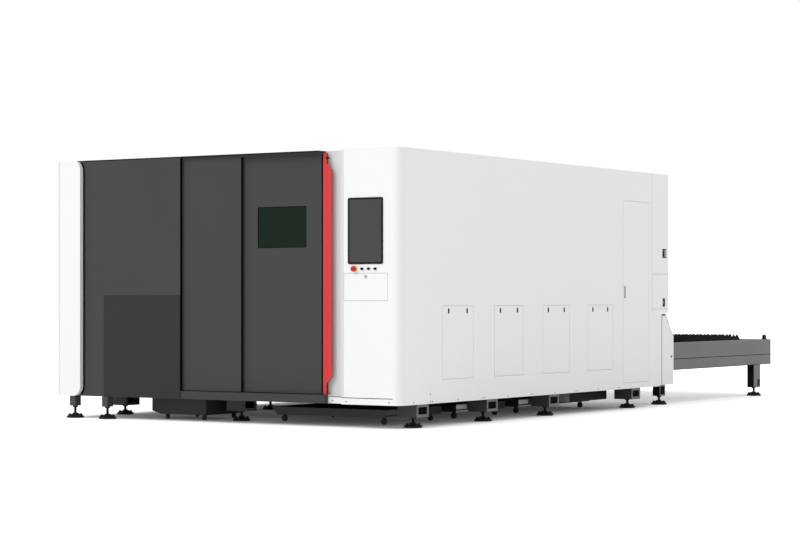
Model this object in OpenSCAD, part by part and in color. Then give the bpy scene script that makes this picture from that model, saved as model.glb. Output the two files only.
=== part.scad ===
// Enclosed fiber laser cutting machine with a shuttle table at the rear.
// The front faces -Y, Z is up, the floor is at Z = 0 and X = Y = 0 is the middle of the whole machine.
// Places are given as u, leftwards from the right-hand side, and v, rearwards from the front face.

/* [Enclosure] */
// Width of the enclosure over both side walls
body_w = 3540; // [3460:1:3640]
// Length of the enclosure from the front face to the rear columns
body_l = 4754; // [4740:1:4900]
// Height of the enclosure above the floor
body_h = 2208; // [2150:1:2300]
// Height of the lower edge of the panels above the floor
panel_z = 190; // [186:1:200]
// Thickness of the sheet metal
sheet_t = 3; // [2:0.5:3.5]
// Depth of the folded edge behind each wall panel
fold_d = 30; // [20:1:36]
// Radius of the two rounded front corners
corner_r = 70; // [60:1:105]

/* [Front] */
// Width of the white pillar at the left of the front
left_pillar_w = 282; // [240:1:330]
// Radius of the inner corners of the left pillar
pillar_end_r = 85; // [30:1:110]
// Width of the control pillar at the right of the front
control_w = 556; // [545:1:600]
// Height of the kick plate under the control pillar
kick_h = 55; // [40:1:70]
// Setback of the kick plate behind the control pillar
kick_in = 2; // [1:0.5:4]
// Setback of the fixed dark panel behind the pillars
front_recess = 40; // [30:1:50]
// Gap between the left pillar's return and the fixed dark panel
pillar_gap = 2; // [1:0.5:4]
// Lap of the fixed dark panel behind the left pillar
panel_lap = 70; // [65:1:100]
// Height of the dark cover over the panel and the doors
header_h = 10; // [6:1:14]
// Place of the free edge of the fixed dark panel
fixed_edge_u = 2202; // [2150:1:2250]
// Width of the lower access panel
access_w = 824; // [700:1:900]
// Height of the lower access panel
access_h = 863; // [700:1:1000]

/* [Sliding doors] */
// Depth of each dark panel and door
leaf_d = 25; // [23:1:28]
// Running gap between one leaf and the next
leaf_gap = 4; // [3:0.5:6]
// Length by which one leaf laps behind the next
leaf_lap = 50; // [30:1:80]
// Place of the free edge of the trailing door
trail_edge_u = 1591; // [1550:1:1650]
// Place of the free edge of the lead door
lead_edge_u = 810; // [790:1:840]
// Width of the black seal beside the lead door
seal_w = 16; // [10:1:20]
// Width of the red edge strip
strip_w = 31; // [24:1:40]
// Width of the red blade handle beyond its strip
blade_w = 50; // [40:1:70]
// Thickness of the red blade handle
blade_t = 8; // [5:1:12]
// Rise of the lower end of the blade above the sill
blade_rise = 91; // [60:1:150]
// Drop of the upper end of the blade below the door's top
blade_drop = 82; // [60:1:150]
// Rise of the slanted blade ends
blade_slant = 52; // [30:1:70]
// Width of the door window
window_w = 486; // [400:1:520]
// Height of the door window
window_h = 334; // [280:1:380]
// Place of the near edge of the door window
window_u = 957; // [940:1:1000]
// Height of the lower edge of the door window
window_z = 1437; // [1350:1:1500]
// Lap of the window pane behind its opening
pane_lap = 12; // [8:1:16]
// Thickness of the window pane
pane_t = 6; // [4:1:8]
// Height of the door sill
sill_h = 66; // [50:1:80]
// Radius of the door rollers
roller_r = 9; // [8:0.5:10]

/* [Controls] */
// Width of the monitor
monitor_w = 330; // [300:1:340]
// Height of the monitor
monitor_h = 523; // [500:1:540]
// Place of the near edge of the monitor
monitor_u = 157; // [145:1:170]
// Height of the lower edge of the monitor
monitor_z = 1297; // [1294:1:1330]
// Height of the row of buttons
button_z = 1260; // [1256:1:1262]
// Place of the emergency stop
stop_u = 424; // [415:1:435]
// Radius of the emergency stop head
stop_r = 18; // [15:0.5:20]
// Radius of the emergency stop collar
collar_r = 24; // [22:0.5:26]
// Reach of the emergency stop in front of the pillar
stop_reach = 33; // [28:1:40]
// Place of the first push button
button_u = 229; // [215:1:240]
// Pitch of the push buttons
button_pitch = 62; // [50:1:65]
// Radius of the push buttons
button_r = 9; // [7:0.5:10]
// Width of the keyboard flap
desk_w = 407; // [380:1:420]
// Height of the keyboard flap
desk_h = 211; // [190:1:220]
// Place of the near edge of the keyboard flap
desk_u = 118; // [112:1:125]
// Height of the lower edge of the keyboard flap
desk_z = 1012; // [980:1:1015]
// Radius of the flap lock
lock_r = 11; // [9:0.5:13]

/* [Side hatches] */
// Width of each lower flap
flap_w = 480; // [440:1:500]
// Height of each lower flap
flap_h = 584; // [540:1:600]
// Height of the lower edge of the flaps
flap_z = 380; // [360:1:400]
// Place of the first flap
flap_v = 630; // [600:1:640]
// Pitch of the flaps
flap_pitch = 829; // [810:1:840]
// Gap round each hatch
hatch_gap = 4; // [3.5:0.5:6]
// Depth of the folded edge of each hatch
hatch_d = 16; // [14:1:18]
// Radius of the hinge pins
pin_r = 2.5; // [2:0.25:2.75]
// Distance of the hinge pins from the hatch edges
pin_in = 6.5; // [6.25:0.25:7]
// Running clearance of pins and buttons
fit_gap = 0.3; // [0.2:0.05:0.4]
// Width of the finger pulls
pull_w = 28; // [22:1:34]
// Height of the finger pulls
pull_h = 45; // [38:1:52]
// Distance of the finger pulls from the flap sides
pull_in = 96; // [80:1:110]
// Width of the service door
service_w = 527; // [480:1:540]
// Height of the service door
service_h = 1677; // [1600:1:1700]
// Place of the near edge of the service door
service_v = 3813; // [3800:1:3830]
// Height of the lower edge of the service door
service_z = 248; // [240:1:270]
// Width of the service door grip
grip_w = 36; // [30:1:44]
// Height of the service door grip
grip_h = 113; // [100:1:130]

/* [Rear columns] */
// Length of the rear columns
column_l = 347; // [345:1:380]
// Depth of the rear columns across the machine
column_d = 400; // [360:1:440]
// Height of the lower edge of the rear columns
column_z = 888; // [885:1:910]
// Overhang of the columns behind the lower wall
column_over = 178; // [150:1:200]
// Width of the fuse box door
box_w = 321; // [300:1:325]
// Height of the fuse box door
box_h = 326; // [300:1:340]
// Height of the fuse box door above the column's lower edge
box_up = 41; // [35:1:60]
// Size of the square main switch pocket
switch_size = 86; // [80:1:92]
// Height of the middle of the main switch
switch_z = 1454; // [1430:1:1480]
// Distance of the main switch from the rear face
switch_in = 79; // [70:1:90]
// Depth of the main switch pocket
switch_d = 42; // [40:1:50]

/* [Bed] */
// Distance of the bed sides inside the walls
bed_in = 120; // [110:1:130]
// Width of the bed and table side beams
beam_w = 100; // [90:1:110]
// Height of the top of the bed
bed_top = 780; // [770:1:800]
// Place of the front end of the bed
bed_v = 290; // [280:1:292]
// Height of the bed's lower tubes
tube_h = 136; // [130:1:140]
// Size of the square foot blocks
block_s = 180; // [170:1:184]
// Height of the foot blocks
block_h = 106; // [100:1:110]
// Wall of the foot blocks
block_t = 24; // [18:1:28]
// Radius of the levelling feet
pad_r = 74; // [65:1:85]
// Thickness of the levelling feet
pad_h = 24; // [16:1:28]
// Radius of the levelling studs
stud_r = 12; // [10:1:16]

/* [Shuttle table] */
// Reach of the table behind the enclosure
table_reach = 2746; // [2700:1:2800]
// Height of the table beams
table_h = 264; // [256:1:268]
// Length of the table legs along the beams
leg_l = 165; // [140:1:180]
// Width of the table legs
leg_w = 75; // [60:1:90]
// Length of each pallet
pallet_l = 2400; // [2350:1:2430]
// Place of the inner pallet
pallet_v = 1390; // [1380:1:1400]
// Travel of the pallets
pallet_travel = 3500; // [3450:1:3500]
// Height of the pallet frames
pallet_h = 80; // [70:1:84]
// Width of the pallet rails
rail_w = 52; // [48:1:56]
// Height of the lower pallet rails
rail_low_z = 345; // [342:1:346]
// Rise of the upper pallet rails over the lower ones
rail_rise = 155; // [155:1:158]
// Radius of the pallet wheels
wheel_r = 30; // [26:1:31]
// Pitch of the saw-tooth slats
slat_pitch = 81; // [60:1:100]
// Thickness of the slats
slat_t = 4; // [2:0.5:6]
// Height of the slats
slat_h = 110; // [100:1:112]
// Depth of the slat teeth
tooth_d = 70; // [40:1:80]
// Pitch of the slat teeth
tooth_pitch = 85; // [70:1:120]
// Rise of the upper pallet's teeth over the table beams
tooth_rise = 60; // [55:1:64]

/* [Gantry] */
// Place of the gantry at its front stop
gantry_v = 1050; // [1040:1:1060]
// Depth of the gantry beam
gantry_d = 230; // [200:1:260]
// Height of the gantry beam
gantry_h = 240; // [210:1:270]
// Height of the gantry rails
track_h = 40; // [30:1:45]
// Width of the gantry rails
track_w = 45; // [35:1:50]
// Width of the carriage
carriage_w = 300; // [260:1:340]
// Height of the nozzle tip at the top of its stroke
nozzle_z = 800; // [798:1:810]
// Radius of the cutting head
head_r = 40; // [34:1:44]

/* [Trays] */
// Width of the slag trays across the machine
tray_w = 1145; // [1000:1:1200]
// Place of the near end of the slag trays
tray_u = 455; // [430:1:480]
// Height of the slag tray floors
tray_z = 60; // [56:1:66]
// Height of the slag trays
tray_h = 65; // [50:1:75]
// Radius of the tray casters
caster_r = 25; // [20:1:27]
// Width of the scrap bin
bin_w = 579; // [540:1:600]
// Length of the scrap bin
bin_l = 500; // [450:1:540]
// Place of the near side of the scrap bin
bin_u = 2115; // [2080:1:2150]
// Place of the front of the scrap bin
bin_v = 280; // [260:1:300]
// Height of the scrap bin floor
bin_z = 45; // [43:1:52]

/* [Hidden] */
$fn = 48;

white = "#E9E9E9";
dark = "#4B4B4B";
darker = "#3D3D3D";
black = "#151515";
red = "#D64A4A";
yellow = "#E8C21C";
steel = "#9A9A9A";
grey = "#767676";

// The whole machine, from the emergency stop to the end of the table, is centred on Y = 0
table_end_v = body_l + table_reach;
front_y = (stop_reach - table_end_v) / 2;
eps = 1;

// Front layers, rearwards from the fixed panel to the jamb behind the lead door
trail_v = front_recess + leaf_d + leaf_gap;
lead_v = trail_v + leaf_d + leaf_gap;
jamb_gap = 17;
jamb_v = lead_v + leaf_d + jamb_gap;
header_z = body_h - header_h;
sill_top = panel_z + sill_h;
door_clear = 6;
door_z = [sill_top + door_clear, header_z - door_clear];
lead_u = [lead_edge_u, trail_edge_u + leaf_lap];
trail_u = [trail_edge_u, fixed_edge_u + leaf_lap];
lead_travel = fixed_edge_u - lead_edge_u;
pillar_u = body_w - left_pillar_w;
fixed_u = [fixed_edge_u, pillar_u + panel_lap];
pillar_back = front_recess - pillar_gap;
strip_u = [lead_edge_u - seal_w - strip_w, lead_edge_u - seal_w];
sill_end = strip_u[0] - 21;
recess_v = 91;
ledge_gap = 1;
header_from = strip_u[1] + 2;
strip_t = blade_t + 1;
seal_back = 4;
roller_in = 110;
roller_half = 34;
roller_side = 6;
groove_cut = 3;
header_back = jamb_v + 20;
jamb_lap = 30;

// Controls
monitor_body = 8;
monitor_d = 40;
bezel_t = 5;
bezel_w = 10;
glass_t = 3;
bezel_r = 14;
stem_r = 8;
head_t = 15;
collar_t = 8;
desk_u_span = [desk_u, desk_u + desk_w];
desk_z_span = [desk_z, desk_z + desk_h];
button_reach = 9;
button_depth = 14;
lock_drop = 24;

// Hatches in the right-hand wall
function flap_place(i) = [flap_v + i * flap_pitch, flap_v + i * flap_pitch + flap_w];
flap_span = [flap_z, flap_z + flap_h];
service_place = [service_v, service_v + service_w];
service_span = [service_z, service_z + service_h];
frame_d = hatch_d + 6;
cup_d = 12;
pull_drop = 38;

// Rear end
column_v = [body_l - column_l, body_l];
column_span = [column_z, body_h];
wall_v = [corner_r, column_v[0]];
low_wall_end = body_l - column_over;
box_in = 10;
box_place = [column_v[0] + box_in, column_v[0] + box_in + box_w];
box_span = [column_z + box_up, column_z + box_up + box_h];
latch_w = 48;
latch_h = 74;
latch_t = 8;
latch_in = 97;
latch_up = 20;
latch_v = box_place[1] - latch_in;
latch_z = box_span[0] + latch_up;
latch_room = 6;
switch_v = body_l - switch_in;
skirt_t = 20;
skirt_long = 508;
skirt_short = 328;
skirt_low = 660;
skirt_top = 878;

// Bed and table
bed_u = [bed_in, bed_in + beam_w];
bed_end = low_wall_end - 16;
tube_top = panel_z + tube_h;
tube_over = 460;
tube_end = bed_end + tube_over;
foot_z = panel_z - block_h;
foot_u = bed_in;
right_feet = [380, 1470, 2540, 4130];
left_feet = [700, 1470, 2540, 4130];
rear_foot_w = 75;
rear_foot_l = 120;
rear_foot_v = 4880;
rear_feet = [for (u = [bed_in + rear_foot_w / 2, body_w - bed_in - rear_foot_w / 2]) [u, rear_foot_v]];
left_foot_in = 200;
middle_foot_in = 92;
inner_foot_in = 980;
middle_foot = [body_w / 2 + middle_foot_in, 440];
inner_foot = [body_w / 2 + inner_foot_in, 2070];
cross_feet = [380, 1470, 2070, 2540, 4130];
cross_h = 100;
cross_w = 120;
sole_w = 60;
small_leg_v = 56;
small_leg_in = 180;
small_leg_pitch = 360;
small_legs = [for (i = [0, 1]) [body_w - small_leg_in - i * small_leg_pitch, small_leg_v]];
small_leg_w = 62;
small_leg_l = 75;
small_foot_z = 104;
leg_back = 440;
leg_v = [table_end_v - leg_back, table_end_v - leg_back + leg_l];
leg_foot_z = 90;
hook_w = 72;
hook_h = 76;
leg_rim = 8;
table_top = tube_top + table_h;
groove_z = 430;
stop_back = 75;
stop_l = 40;
stop_w = 30;
stop_h = 50;
stop_foot = 8;
groove_h = 6;
groove_d = 4;
tray_gap = 30;
chip_u = 200;
chip_end = 340;
chip_v = [3140, 3864];
chip_z = 91;
chip_gap = 4;
tray_slant = 65;
caster_in = 70;

// Pallets
rail_t = 10;
rail_ahead = 90;
rail_back = 100;
rail_v = [pallet_v - rail_ahead, table_end_v - rail_back];
rail_u = [bed_u[1], bed_u[1] + rail_w];
pallet_u = rail_u[1] + 2;
pallet_bar = 28;
frame_drop = 25;
wheel_in = 150;
ledger_w = 40;
upper_wheel_z = rail_low_z + rail_rise + wheel_r + fit_gap;
lower_wheel_z = rail_low_z + wheel_r + fit_gap;
slat_rise = tooth_rise + table_top - upper_wheel_z;

// Gantry
track_u = bed_in + beam_w / 2;
truck_z = bed_top + track_h + fit_gap;
truck_h = 60;
truck_w = 120;
gantry_z = truck_z + truck_h;
guide_d = 20;
guide_h = 30;
carriage_t = 40;
slide_t = 15;
head_plate_t = 44;

function px(u) = body_w / 2 - u;
function py(v) = front_y + v;
function grow(span, by) = [span[0] - by, span[1] + by];

// Block between pairs of u, v and z
module plate(u, v, z) {
    translate([px(u[1]), py(v[0]), z[0]])
        cube([u[1] - u[0], v[1] - v[0], z[1] - z[0]]);
}

// Round bars along X, Y and Z
module bar_x(u, v, z, r) {
    translate([px(u[1]), py(v), z])
        rotate([0, 90, 0])
            cylinder(r = r, h = u[1] - u[0]);
}

module bar_y(u, v, z, r) {
    translate([px(u), py(v[0]), z])
        rotate([-90, 0, 0])
            cylinder(r = r, h = v[1] - v[0]);
}

module bar_z(u, v, z, r) {
    translate([px(u), py(v), z[0]])
        cylinder(r = r, h = z[1] - z[0]);
}

// Sheet pan with folded edges whose face looks to the right-hand side
module side_pan(v, z, depth) {
    difference() {
        plate([0, depth], v, z);
        plate([sheet_t, depth + eps], grow(v, -sheet_t), grow(z, -sheet_t));
    }
}

// Sheet pan with folded edges whose face looks to the front
module front_pan(u, face_v, z, depth) {
    difference() {
        plate(u, [face_v, face_v + depth], z);
        plate(grow(u, -sheet_t), [face_v + sheet_t, face_v + depth + eps], grow(z, -sheet_t));
    }
}

// Cut for a hatch in a side panel
module hatch_cut(v, z) {
    plate([-eps, sheet_t + eps], grow(v, hatch_gap), grow(z, hatch_gap));
}

// Folded frame behind a hatch in a side panel
module hatch_frame(v, z) {
    difference() {
        plate([0, frame_d], grow(v, hatch_gap + sheet_t), grow(z, hatch_gap + sheet_t));
        plate([-eps, frame_d + eps], grow(v, hatch_gap), grow(z, hatch_gap));
    }
}

// Stub of a hinge pin, from its frame through the folded edge of a hatch
pin_out = hatch_gap + sheet_t / 2;
pin_through = sheet_t + 1;

module lying_pins(v, z, r, out) {
    bar_y(pin_in, [v[0] - out, v[0] + pin_through], z, r);
    bar_y(pin_in, [v[1] - pin_through, v[1] + out], z, r);
}

module upright_pins(v, z, r, out) {
    bar_z(pin_in, v, [z[0] - out, z[0] + pin_through], r);
    bar_z(pin_in, v, [z[1] - pin_through, z[1] + out], r);
}

// Rounded rectangle from its lower left corner
module round_rect(w, h, r) {
    translate([r, 0])
        square([w - 2 * r, h]);
    translate([0, r])
        square([w, h - 2 * r]);
    for (x = [r, w - r], y = [r, h - r])
        translate([x, y])
            circle(r);
}

// Rounded slab that looks to the front
module front_round(u, v, z, r) {
    translate([px(u[1]), py(v[1]), z[0]])
        rotate([90, 0, 0])
            linear_extrude(v[1] - v[0])
                round_rect(u[1] - u[0], z[1] - z[0], r);
}

// Plan of a front pillar with its outer corner rounded, for the right-hand side
module pillar_plan(width, inset, back) {
    translate([px(width) + inset, py(inset)])
        square([width - corner_r - inset, back - inset]);
    intersection() {
        translate([px(corner_r), py(corner_r)])
            circle(corner_r - inset, $fn = 96);
        translate([px(corner_r), py(0)])
            square(corner_r);
    }
}

// Frame: welded bed, blocks and levelling feet
module bed_side(end_v) {
    plate(bed_u, [bed_v, bed_end], [tube_top, bed_top]);
    plate(bed_u, [bed_v, end_v], [panel_z, tube_top]);
    for (v = cross_feet)
        plate([fold_d, bed_in], [v - cross_w / 2, v + cross_w / 2], [panel_z + sheet_t, tube_top]);
}

module bed_frame() {
    color(grey) {
        bed_side(tube_end);
        mirror([1, 0, 0])
            bed_side(tube_end);
        for (v = cross_feet)
            plate([bed_u[1], body_w - bed_u[1]], [v - cross_w / 2, v + cross_w / 2],
                  [panel_z, panel_z + cross_h]);
        // front sole bar that carries the front panels
        plate([fold_d, body_w - fold_d], [header_back, header_back + sole_w], [panel_z + sheet_t, sill_top]);
        for (u = [bed_u[0], body_w - bed_u[1]])
            plate([u, u + beam_w], [header_back + sole_w, bed_v], [panel_z, sill_top]);
    }
}

// Stub of rectangular tube, open to both sides
module foot_block(u, v, w = block_s, l = block_s) {
    difference() {
        plate([u - w / 2, u + w / 2], [v - l / 2, v + l / 2], [foot_z, panel_z]);
        plate([u - w / 2 - eps, u + w / 2 + eps], [v - l / 2 + block_t, v + l / 2 - block_t],
              [foot_z + block_t, panel_z - block_t]);
    }
}

module foot_blocks() {
    color(darker) {
        for (v = right_feet)
            foot_block(foot_u, v);
        for (v = left_feet)
            foot_block(body_w - left_foot_in, v);
        for (p = rear_feet)
            foot_block(p[0], p[1], rear_foot_w, rear_foot_l);
        foot_block(middle_foot[0], middle_foot[1]);
        foot_block(inner_foot[0], inner_foot[1]);
        for (p = small_legs)
            plate([p[0] - small_leg_w / 2, p[0] + small_leg_w / 2],
                  [p[1] - small_leg_l / 2, p[1] + small_leg_l / 2], [small_foot_z, panel_z]);
    }
}

function feet() = concat([for (v = right_feet) [foot_u, v]],
                         [for (v = left_feet) [body_w - left_foot_in, v]],
                         rear_feet, [middle_foot, inner_foot]);
function table_feet() = [for (u = [bed_u[0] + leg_w / 2, body_w - bed_u[0] - leg_w / 2])
                         [u, (leg_v[0] + leg_v[1]) / 2]];

module foot_pad(u, v) {
    small = 0.72;
    bar_z(u, v, [0, pad_h], pad_r);
    translate([px(u), py(v), pad_h])
        cylinder(r1 = pad_r * small, r2 = stud_r * 2, h = pad_h / 2);
}

module foot_pads() {
    color(black)
        for (p = concat(feet(), small_legs, table_feet()))
            foot_pad(p[0], p[1]);
}

module foot_stud(u, v, top) {
    low = pad_h * 1.5;
    nut_h = 14;
    bar_z(u, v, [low, top], stud_r);
    translate([px(u), py(v), top - nut_h])
        cylinder(r = stud_r * 1.8, h = nut_h, $fn = 6);
}

module foot_studs() {
    color(steel) {
        for (p = feet())
            foot_stud(p[0], p[1], foot_z);
        for (p = small_legs)
            foot_stud(p[0], p[1], small_foot_z);
        for (p = table_feet())
            foot_stud(p[0], p[1], leg_foot_z);
    }
}

// Enclosure panels
module wall_sheet() {
    side_pan(wall_v, [panel_z, body_h], fold_d);
    side_pan([wall_v[1], low_wall_end], [panel_z, column_z], fold_d);
}

module right_wall() {
    color(white) {
        difference() {
            wall_sheet();
            for (i = [0:3])
                hatch_cut(flap_place(i), flap_span);
            hatch_cut(service_place, service_span);
        }
        for (i = [0:3]) {
            hatch_frame(flap_place(i), flap_span);
            lying_pins(flap_place(i), flap_z + pin_in, pin_r, pin_out);
        }
        hatch_frame(service_place, service_span);
        upright_pins(service_place[1] - pin_in, service_span, pin_r, pin_out);
    }
}

module left_wall() {
    color(white)
        mirror([1, 0, 0])
            wall_sheet();
}

module roof() {
    inner_u = [fold_d, body_w - fold_d];
    v = [header_back, body_l - fold_d];
    z = [body_h - fold_d, body_h];
    half = (inner_u[0] + inner_u[1]) / 2;
    color(white)
        for (u = [[inner_u[0], half], [half, inner_u[1]]])
            difference() {
                plate(u, v, z);
                plate(grow(u, -sheet_t), grow(v, -sheet_t), [z[0] - eps, z[1] - sheet_t]);
            }
}

module rear_wall() {
    u = [column_d, body_w - column_d];
    v = [body_l - fold_d, body_l];
    z = [column_z, body_h];
    color(white)
        difference() {
            plate(u, v, z);
            plate(grow(u, -sheet_t), [v[0] - eps, v[1] - sheet_t], grow(z, -sheet_t));
        }
}

module column_pan() {
    difference() {
        side_pan(column_v, column_span, column_d);
        // clear of the roof and of the rear wall
        plate([fold_d, column_d + eps], [column_v[0] - eps, column_v[1] - fold_d],
              [body_h - fold_d, body_h + eps]);
    }
}

module end_columns() {
    half = switch_size / 2;
    color(white) {
        difference() {
            column_pan();
            hatch_cut(box_place, box_span);
            plate([-eps, sheet_t + eps], [switch_v - half, switch_v + half],
                  [switch_z - half, switch_z + half]);
        }
        hatch_frame(box_place, box_span);
        upright_pins(box_place[0] + pin_in, box_span, pin_r, pin_out);
        mirror([1, 0, 0])
            column_pan();
    }
}

// Cheek beside the pallet way, from its outline in v and z
module skirt_outline(inset) {
    low = panel_z + inset;
    top = skirt_top - inset;
    far = skirt_long - inset;
    slope = inset * 0.6;
    polygon([[inset, low], [far, low], [far, skirt_low - slope], [skirt_short - slope, top], [inset, top]]);
}

module rear_skirt() {
    translate([px(bed_in), py(low_wall_end), 0])
        rotate([90, 0, 90])
            difference() {
                linear_extrude(skirt_t)
                    skirt_outline(0);
                translate([0, 0, -eps])
                    linear_extrude(skirt_t - sheet_t + eps)
                        skirt_outline(sheet_t);
            }
}

module rear_skirts() {
    color(white) {
        rear_skirt();
        mirror([1, 0, 0])
            rear_skirt();
    }
}

// Front: fixed panel, pillars, sill and header
module fixed_panel() {
    color(dark)
        front_pan(fixed_u, front_recess, [panel_z, header_z], leaf_d);
}

module access_panel() {
    color(darker)
        plate([fixed_edge_u, fixed_edge_u + access_w], [front_recess - sheet_t, front_recess],
              [panel_z, panel_z + access_h]);
}

// Front elevation of the left pillar, with its inner corners rounded
module left_pillar_face(inset) {
    z = [panel_z + inset, body_h - inset];
    r = pillar_end_r - inset;
    w = left_pillar_w - inset;
    translate([px(body_w), z[0]]) {
        square([w - r, z[1] - z[0]]);
        translate([0, r])
            square([w, z[1] - z[0] - 2 * r]);
        for (y = [r, z[1] - z[0] - r])
            translate([w - r, y])
                circle(r, $fn = 96);
    }
}

module left_pillar_body(inset) {
    intersection() {
        mirror([1, 0, 0])
            translate([0, 0, panel_z - eps])
                linear_extrude(body_h - panel_z + 2 * eps)
                    pillar_plan(left_pillar_w, inset, pillar_back + (inset > 0 ? eps : 0));
        translate([0, py(jamb_v + 2 * eps), 0])
            rotate([90, 0, 0])
                linear_extrude(jamb_v + 4 * eps)
                    left_pillar_face(inset);
    }
}

module left_pillar() {
    color(white)
        difference() {
            left_pillar_body(0);
            left_pillar_body(sheet_t);
            // open back of the rounded corner
            translate([px(body_w) + sheet_t, py(corner_r) - eps, panel_z + sheet_t])
                cube([corner_r - sheet_t, 2 * eps, body_h - panel_z - 2 * sheet_t]);
        }
}

module control_shell(inset, back, z) {
    translate([0, 0, z[0]])
        linear_extrude(z[1] - z[0])
            pillar_plan(control_w, inset, back);
}

module control_pillar() {
    z = [panel_z + kick_h, body_h];
    color(white) {
        difference() {
            control_shell(0, jamb_v, z);
            control_shell(sheet_t, jamb_v + eps, [z[0] - eps, z[1] - sheet_t]);
            plate([0, corner_r], [corner_r - eps, corner_r + eps], [z[0] - eps, z[1] - sheet_t]);
            // cut-outs for the monitor, the buttons and the keyboard flap
            plate([monitor_u + monitor_body, monitor_u + monitor_w - monitor_body], [-eps, sheet_t + eps],
                  [monitor_z + monitor_body, monitor_z + monitor_h - monitor_body]);
            bar_y(stop_u, [-eps, sheet_t + eps], button_z, stem_r + fit_gap);
            for (i = [0:2])
                bar_y(button_u + i * button_pitch, [-eps, sheet_t + eps], button_z, button_r + fit_gap);
            plate(grow(desk_u_span, hatch_gap), [-eps, sheet_t + eps], grow(desk_z_span, hatch_gap));
        }
        difference() {
            plate(grow(desk_u_span, hatch_gap + sheet_t), [0, frame_d], grow(desk_z_span, hatch_gap + sheet_t));
            plate(grow(desk_u_span, hatch_gap), [-eps, frame_d + eps], grow(desk_z_span, hatch_gap));
        }
        desk_pins(pin_r, pin_out);
    }
}

module desk_pins(r, out) {
    bar_x([desk_u - out, desk_u + pin_through], pin_in, desk_z + pin_in, r);
    bar_x([desk_u + desk_w - pin_through, desk_u + desk_w + out], pin_in, desk_z + pin_in, r);
}

module kick_plate() {
    z = [panel_z, panel_z + kick_h];
    color(white) {
        difference() {
            control_shell(kick_in, jamb_v, z);
            control_shell(kick_in + sheet_t, jamb_v + eps, grow(z, eps));
            plate([0, corner_r], [corner_r - eps, corner_r + eps], grow(z, eps));
        }
        plate([control_w - kick_in - sheet_t, sill_end], [recess_v, recess_v + sheet_t], z);
    }
}

module door_sill() {
    short_of_panel = 6;
    past_door = 20;
    fascia = [sill_end, fixed_edge_u - short_of_panel];
    track = [fascia[0], lead_u[1] + lead_travel + past_door];
    slot_v = 2;
    clear_v = 4;
    color(darker)
        difference() {
            union() {
                plate(fascia, [front_recess, trail_v - slot_v], [panel_z, sill_top]);
                plate(track, [trail_v - slot_v, jamb_v - clear_v], [panel_z, sill_top]);
            }
            // running grooves for the rollers of the two doors
            for (v = [trail_v, lead_v])
                plate(grow(track, eps), [v + roller_side, v + leaf_d - roller_side], [sill_top - groove_cut, sill_top + eps]);
        }
}

module door_header() {
    u = [header_from, fixed_u[1]];
    rib_t = 2;
    rib_h = 16;
    color(darker) {
        plate(u, [front_recess, header_back], [header_z, body_h]);
        for (v = [trail_v, lead_v])
            plate(u, [v - leaf_gap / 2 - rib_t / 2, v - leaf_gap / 2 + rib_t / 2], [header_z - rib_h, header_z]);
    }
}

module door_jamb() {
    color(white)
        union() {
            plate([control_w - sheet_t, header_from], [jamb_v, jamb_v + sheet_t], [sill_top, body_h]);
            plate([header_from, lead_edge_u + jamb_lap], [jamb_v, jamb_v + sheet_t], [sill_top, header_z]);
            // return to the roof above, and ledge over the kick plate below
            plate([control_w - sheet_t, header_from], [jamb_v, header_back], [body_h - sheet_t, body_h]);
            plate([control_w, sill_end], [recess_v, jamb_v + sheet_t], [panel_z + kick_h + ledge_gap, sill_top]);
        }
}

// Doors
module lead_door() {
    color(dark)
        difference() {
            front_pan(lead_u, lead_v, door_z, leaf_d);
            plate([window_u, window_u + window_w], [lead_v - eps, lead_v + sheet_t + eps],
                  [window_z, window_z + window_h]);
            roller_slots(lead_u, lead_v);
        }
}

module trailing_door() {
    color(dark)
        difference() {
            front_pan(trail_u, trail_v, door_z, leaf_d);
            roller_slots(trail_u, trail_v);
        }
}

function roller_places(u) = [u[0] + roller_in, u[1] - roller_in];

module roller_slots(u, v) {
    for (p = roller_places(u))
        plate([p - roller_r - 3, p + roller_r + 3], [v + roller_side, v + leaf_d - roller_side],
              [door_z[0] - eps, door_z[0] + sheet_t + eps]);
}

// Roller trucks that stand on the lower fold of a door and run in the sill
module roller_set(u, v) {
    axle_z = sill_top - groove_cut + roller_r + fit_gap;
    truck_top = door_z[0] + sheet_t + 26;
    for (p = roller_places(u)) {
        difference() {
            plate([p - roller_half, p + roller_half], [v + sheet_t + 1, v + leaf_d - 1],
                  [door_z[0] + sheet_t, truck_top]);
            plate([p - roller_r - 2, p + roller_r + 2], [v + 8, v + leaf_d - 8],
                  [door_z[0], truck_top - 4]);
        }
        bar_y(p, [v + 9, v + leaf_d - 9], axle_z, roller_r);
        bar_y(p, [v + 7, v + leaf_d - 7], axle_z, roller_r / 3);
    }
}

module lead_rollers() {
    color(steel)
        roller_set(lead_u, lead_v);
}

module trailing_rollers() {
    color(steel)
        roller_set(trail_u, trail_v);
}

module door_window() {
    v = lead_v + sheet_t;
    color("#22302A")
        plate([window_u - pane_lap, window_u + window_w + pane_lap], [v, v + pane_t],
              [window_z - pane_lap, window_z + window_h + pane_lap]);
}

module door_seal() {
    lip = 2;
    color(black) {
        plate([strip_u[1], lead_edge_u], [lead_v + lip, lead_v + leaf_d], door_z);
        plate([strip_u[0] + seal_back, strip_u[1]], [lead_v + strip_t, lead_v + leaf_d], door_z);
    }
}

// Red strip with a blade handle whose ends slant
module door_edge() {
    blade_z = sill_top + blade_rise;
    blade_top = door_z[1] - blade_drop;
    blade_v = lead_v + 1;
    color(red) {
        plate(strip_u, [lead_v, lead_v + strip_t], [sill_top + door_clear / 2, door_z[1]]);
        translate([px(strip_u[0]), py(blade_v + blade_t), 0])
            rotate([90, 0, 0])
                linear_extrude(blade_t)
                    polygon([[0, blade_z], [blade_w, blade_z + blade_slant],
                             [blade_w, blade_top - blade_slant], [0, blade_top]]);
    }
}

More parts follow.
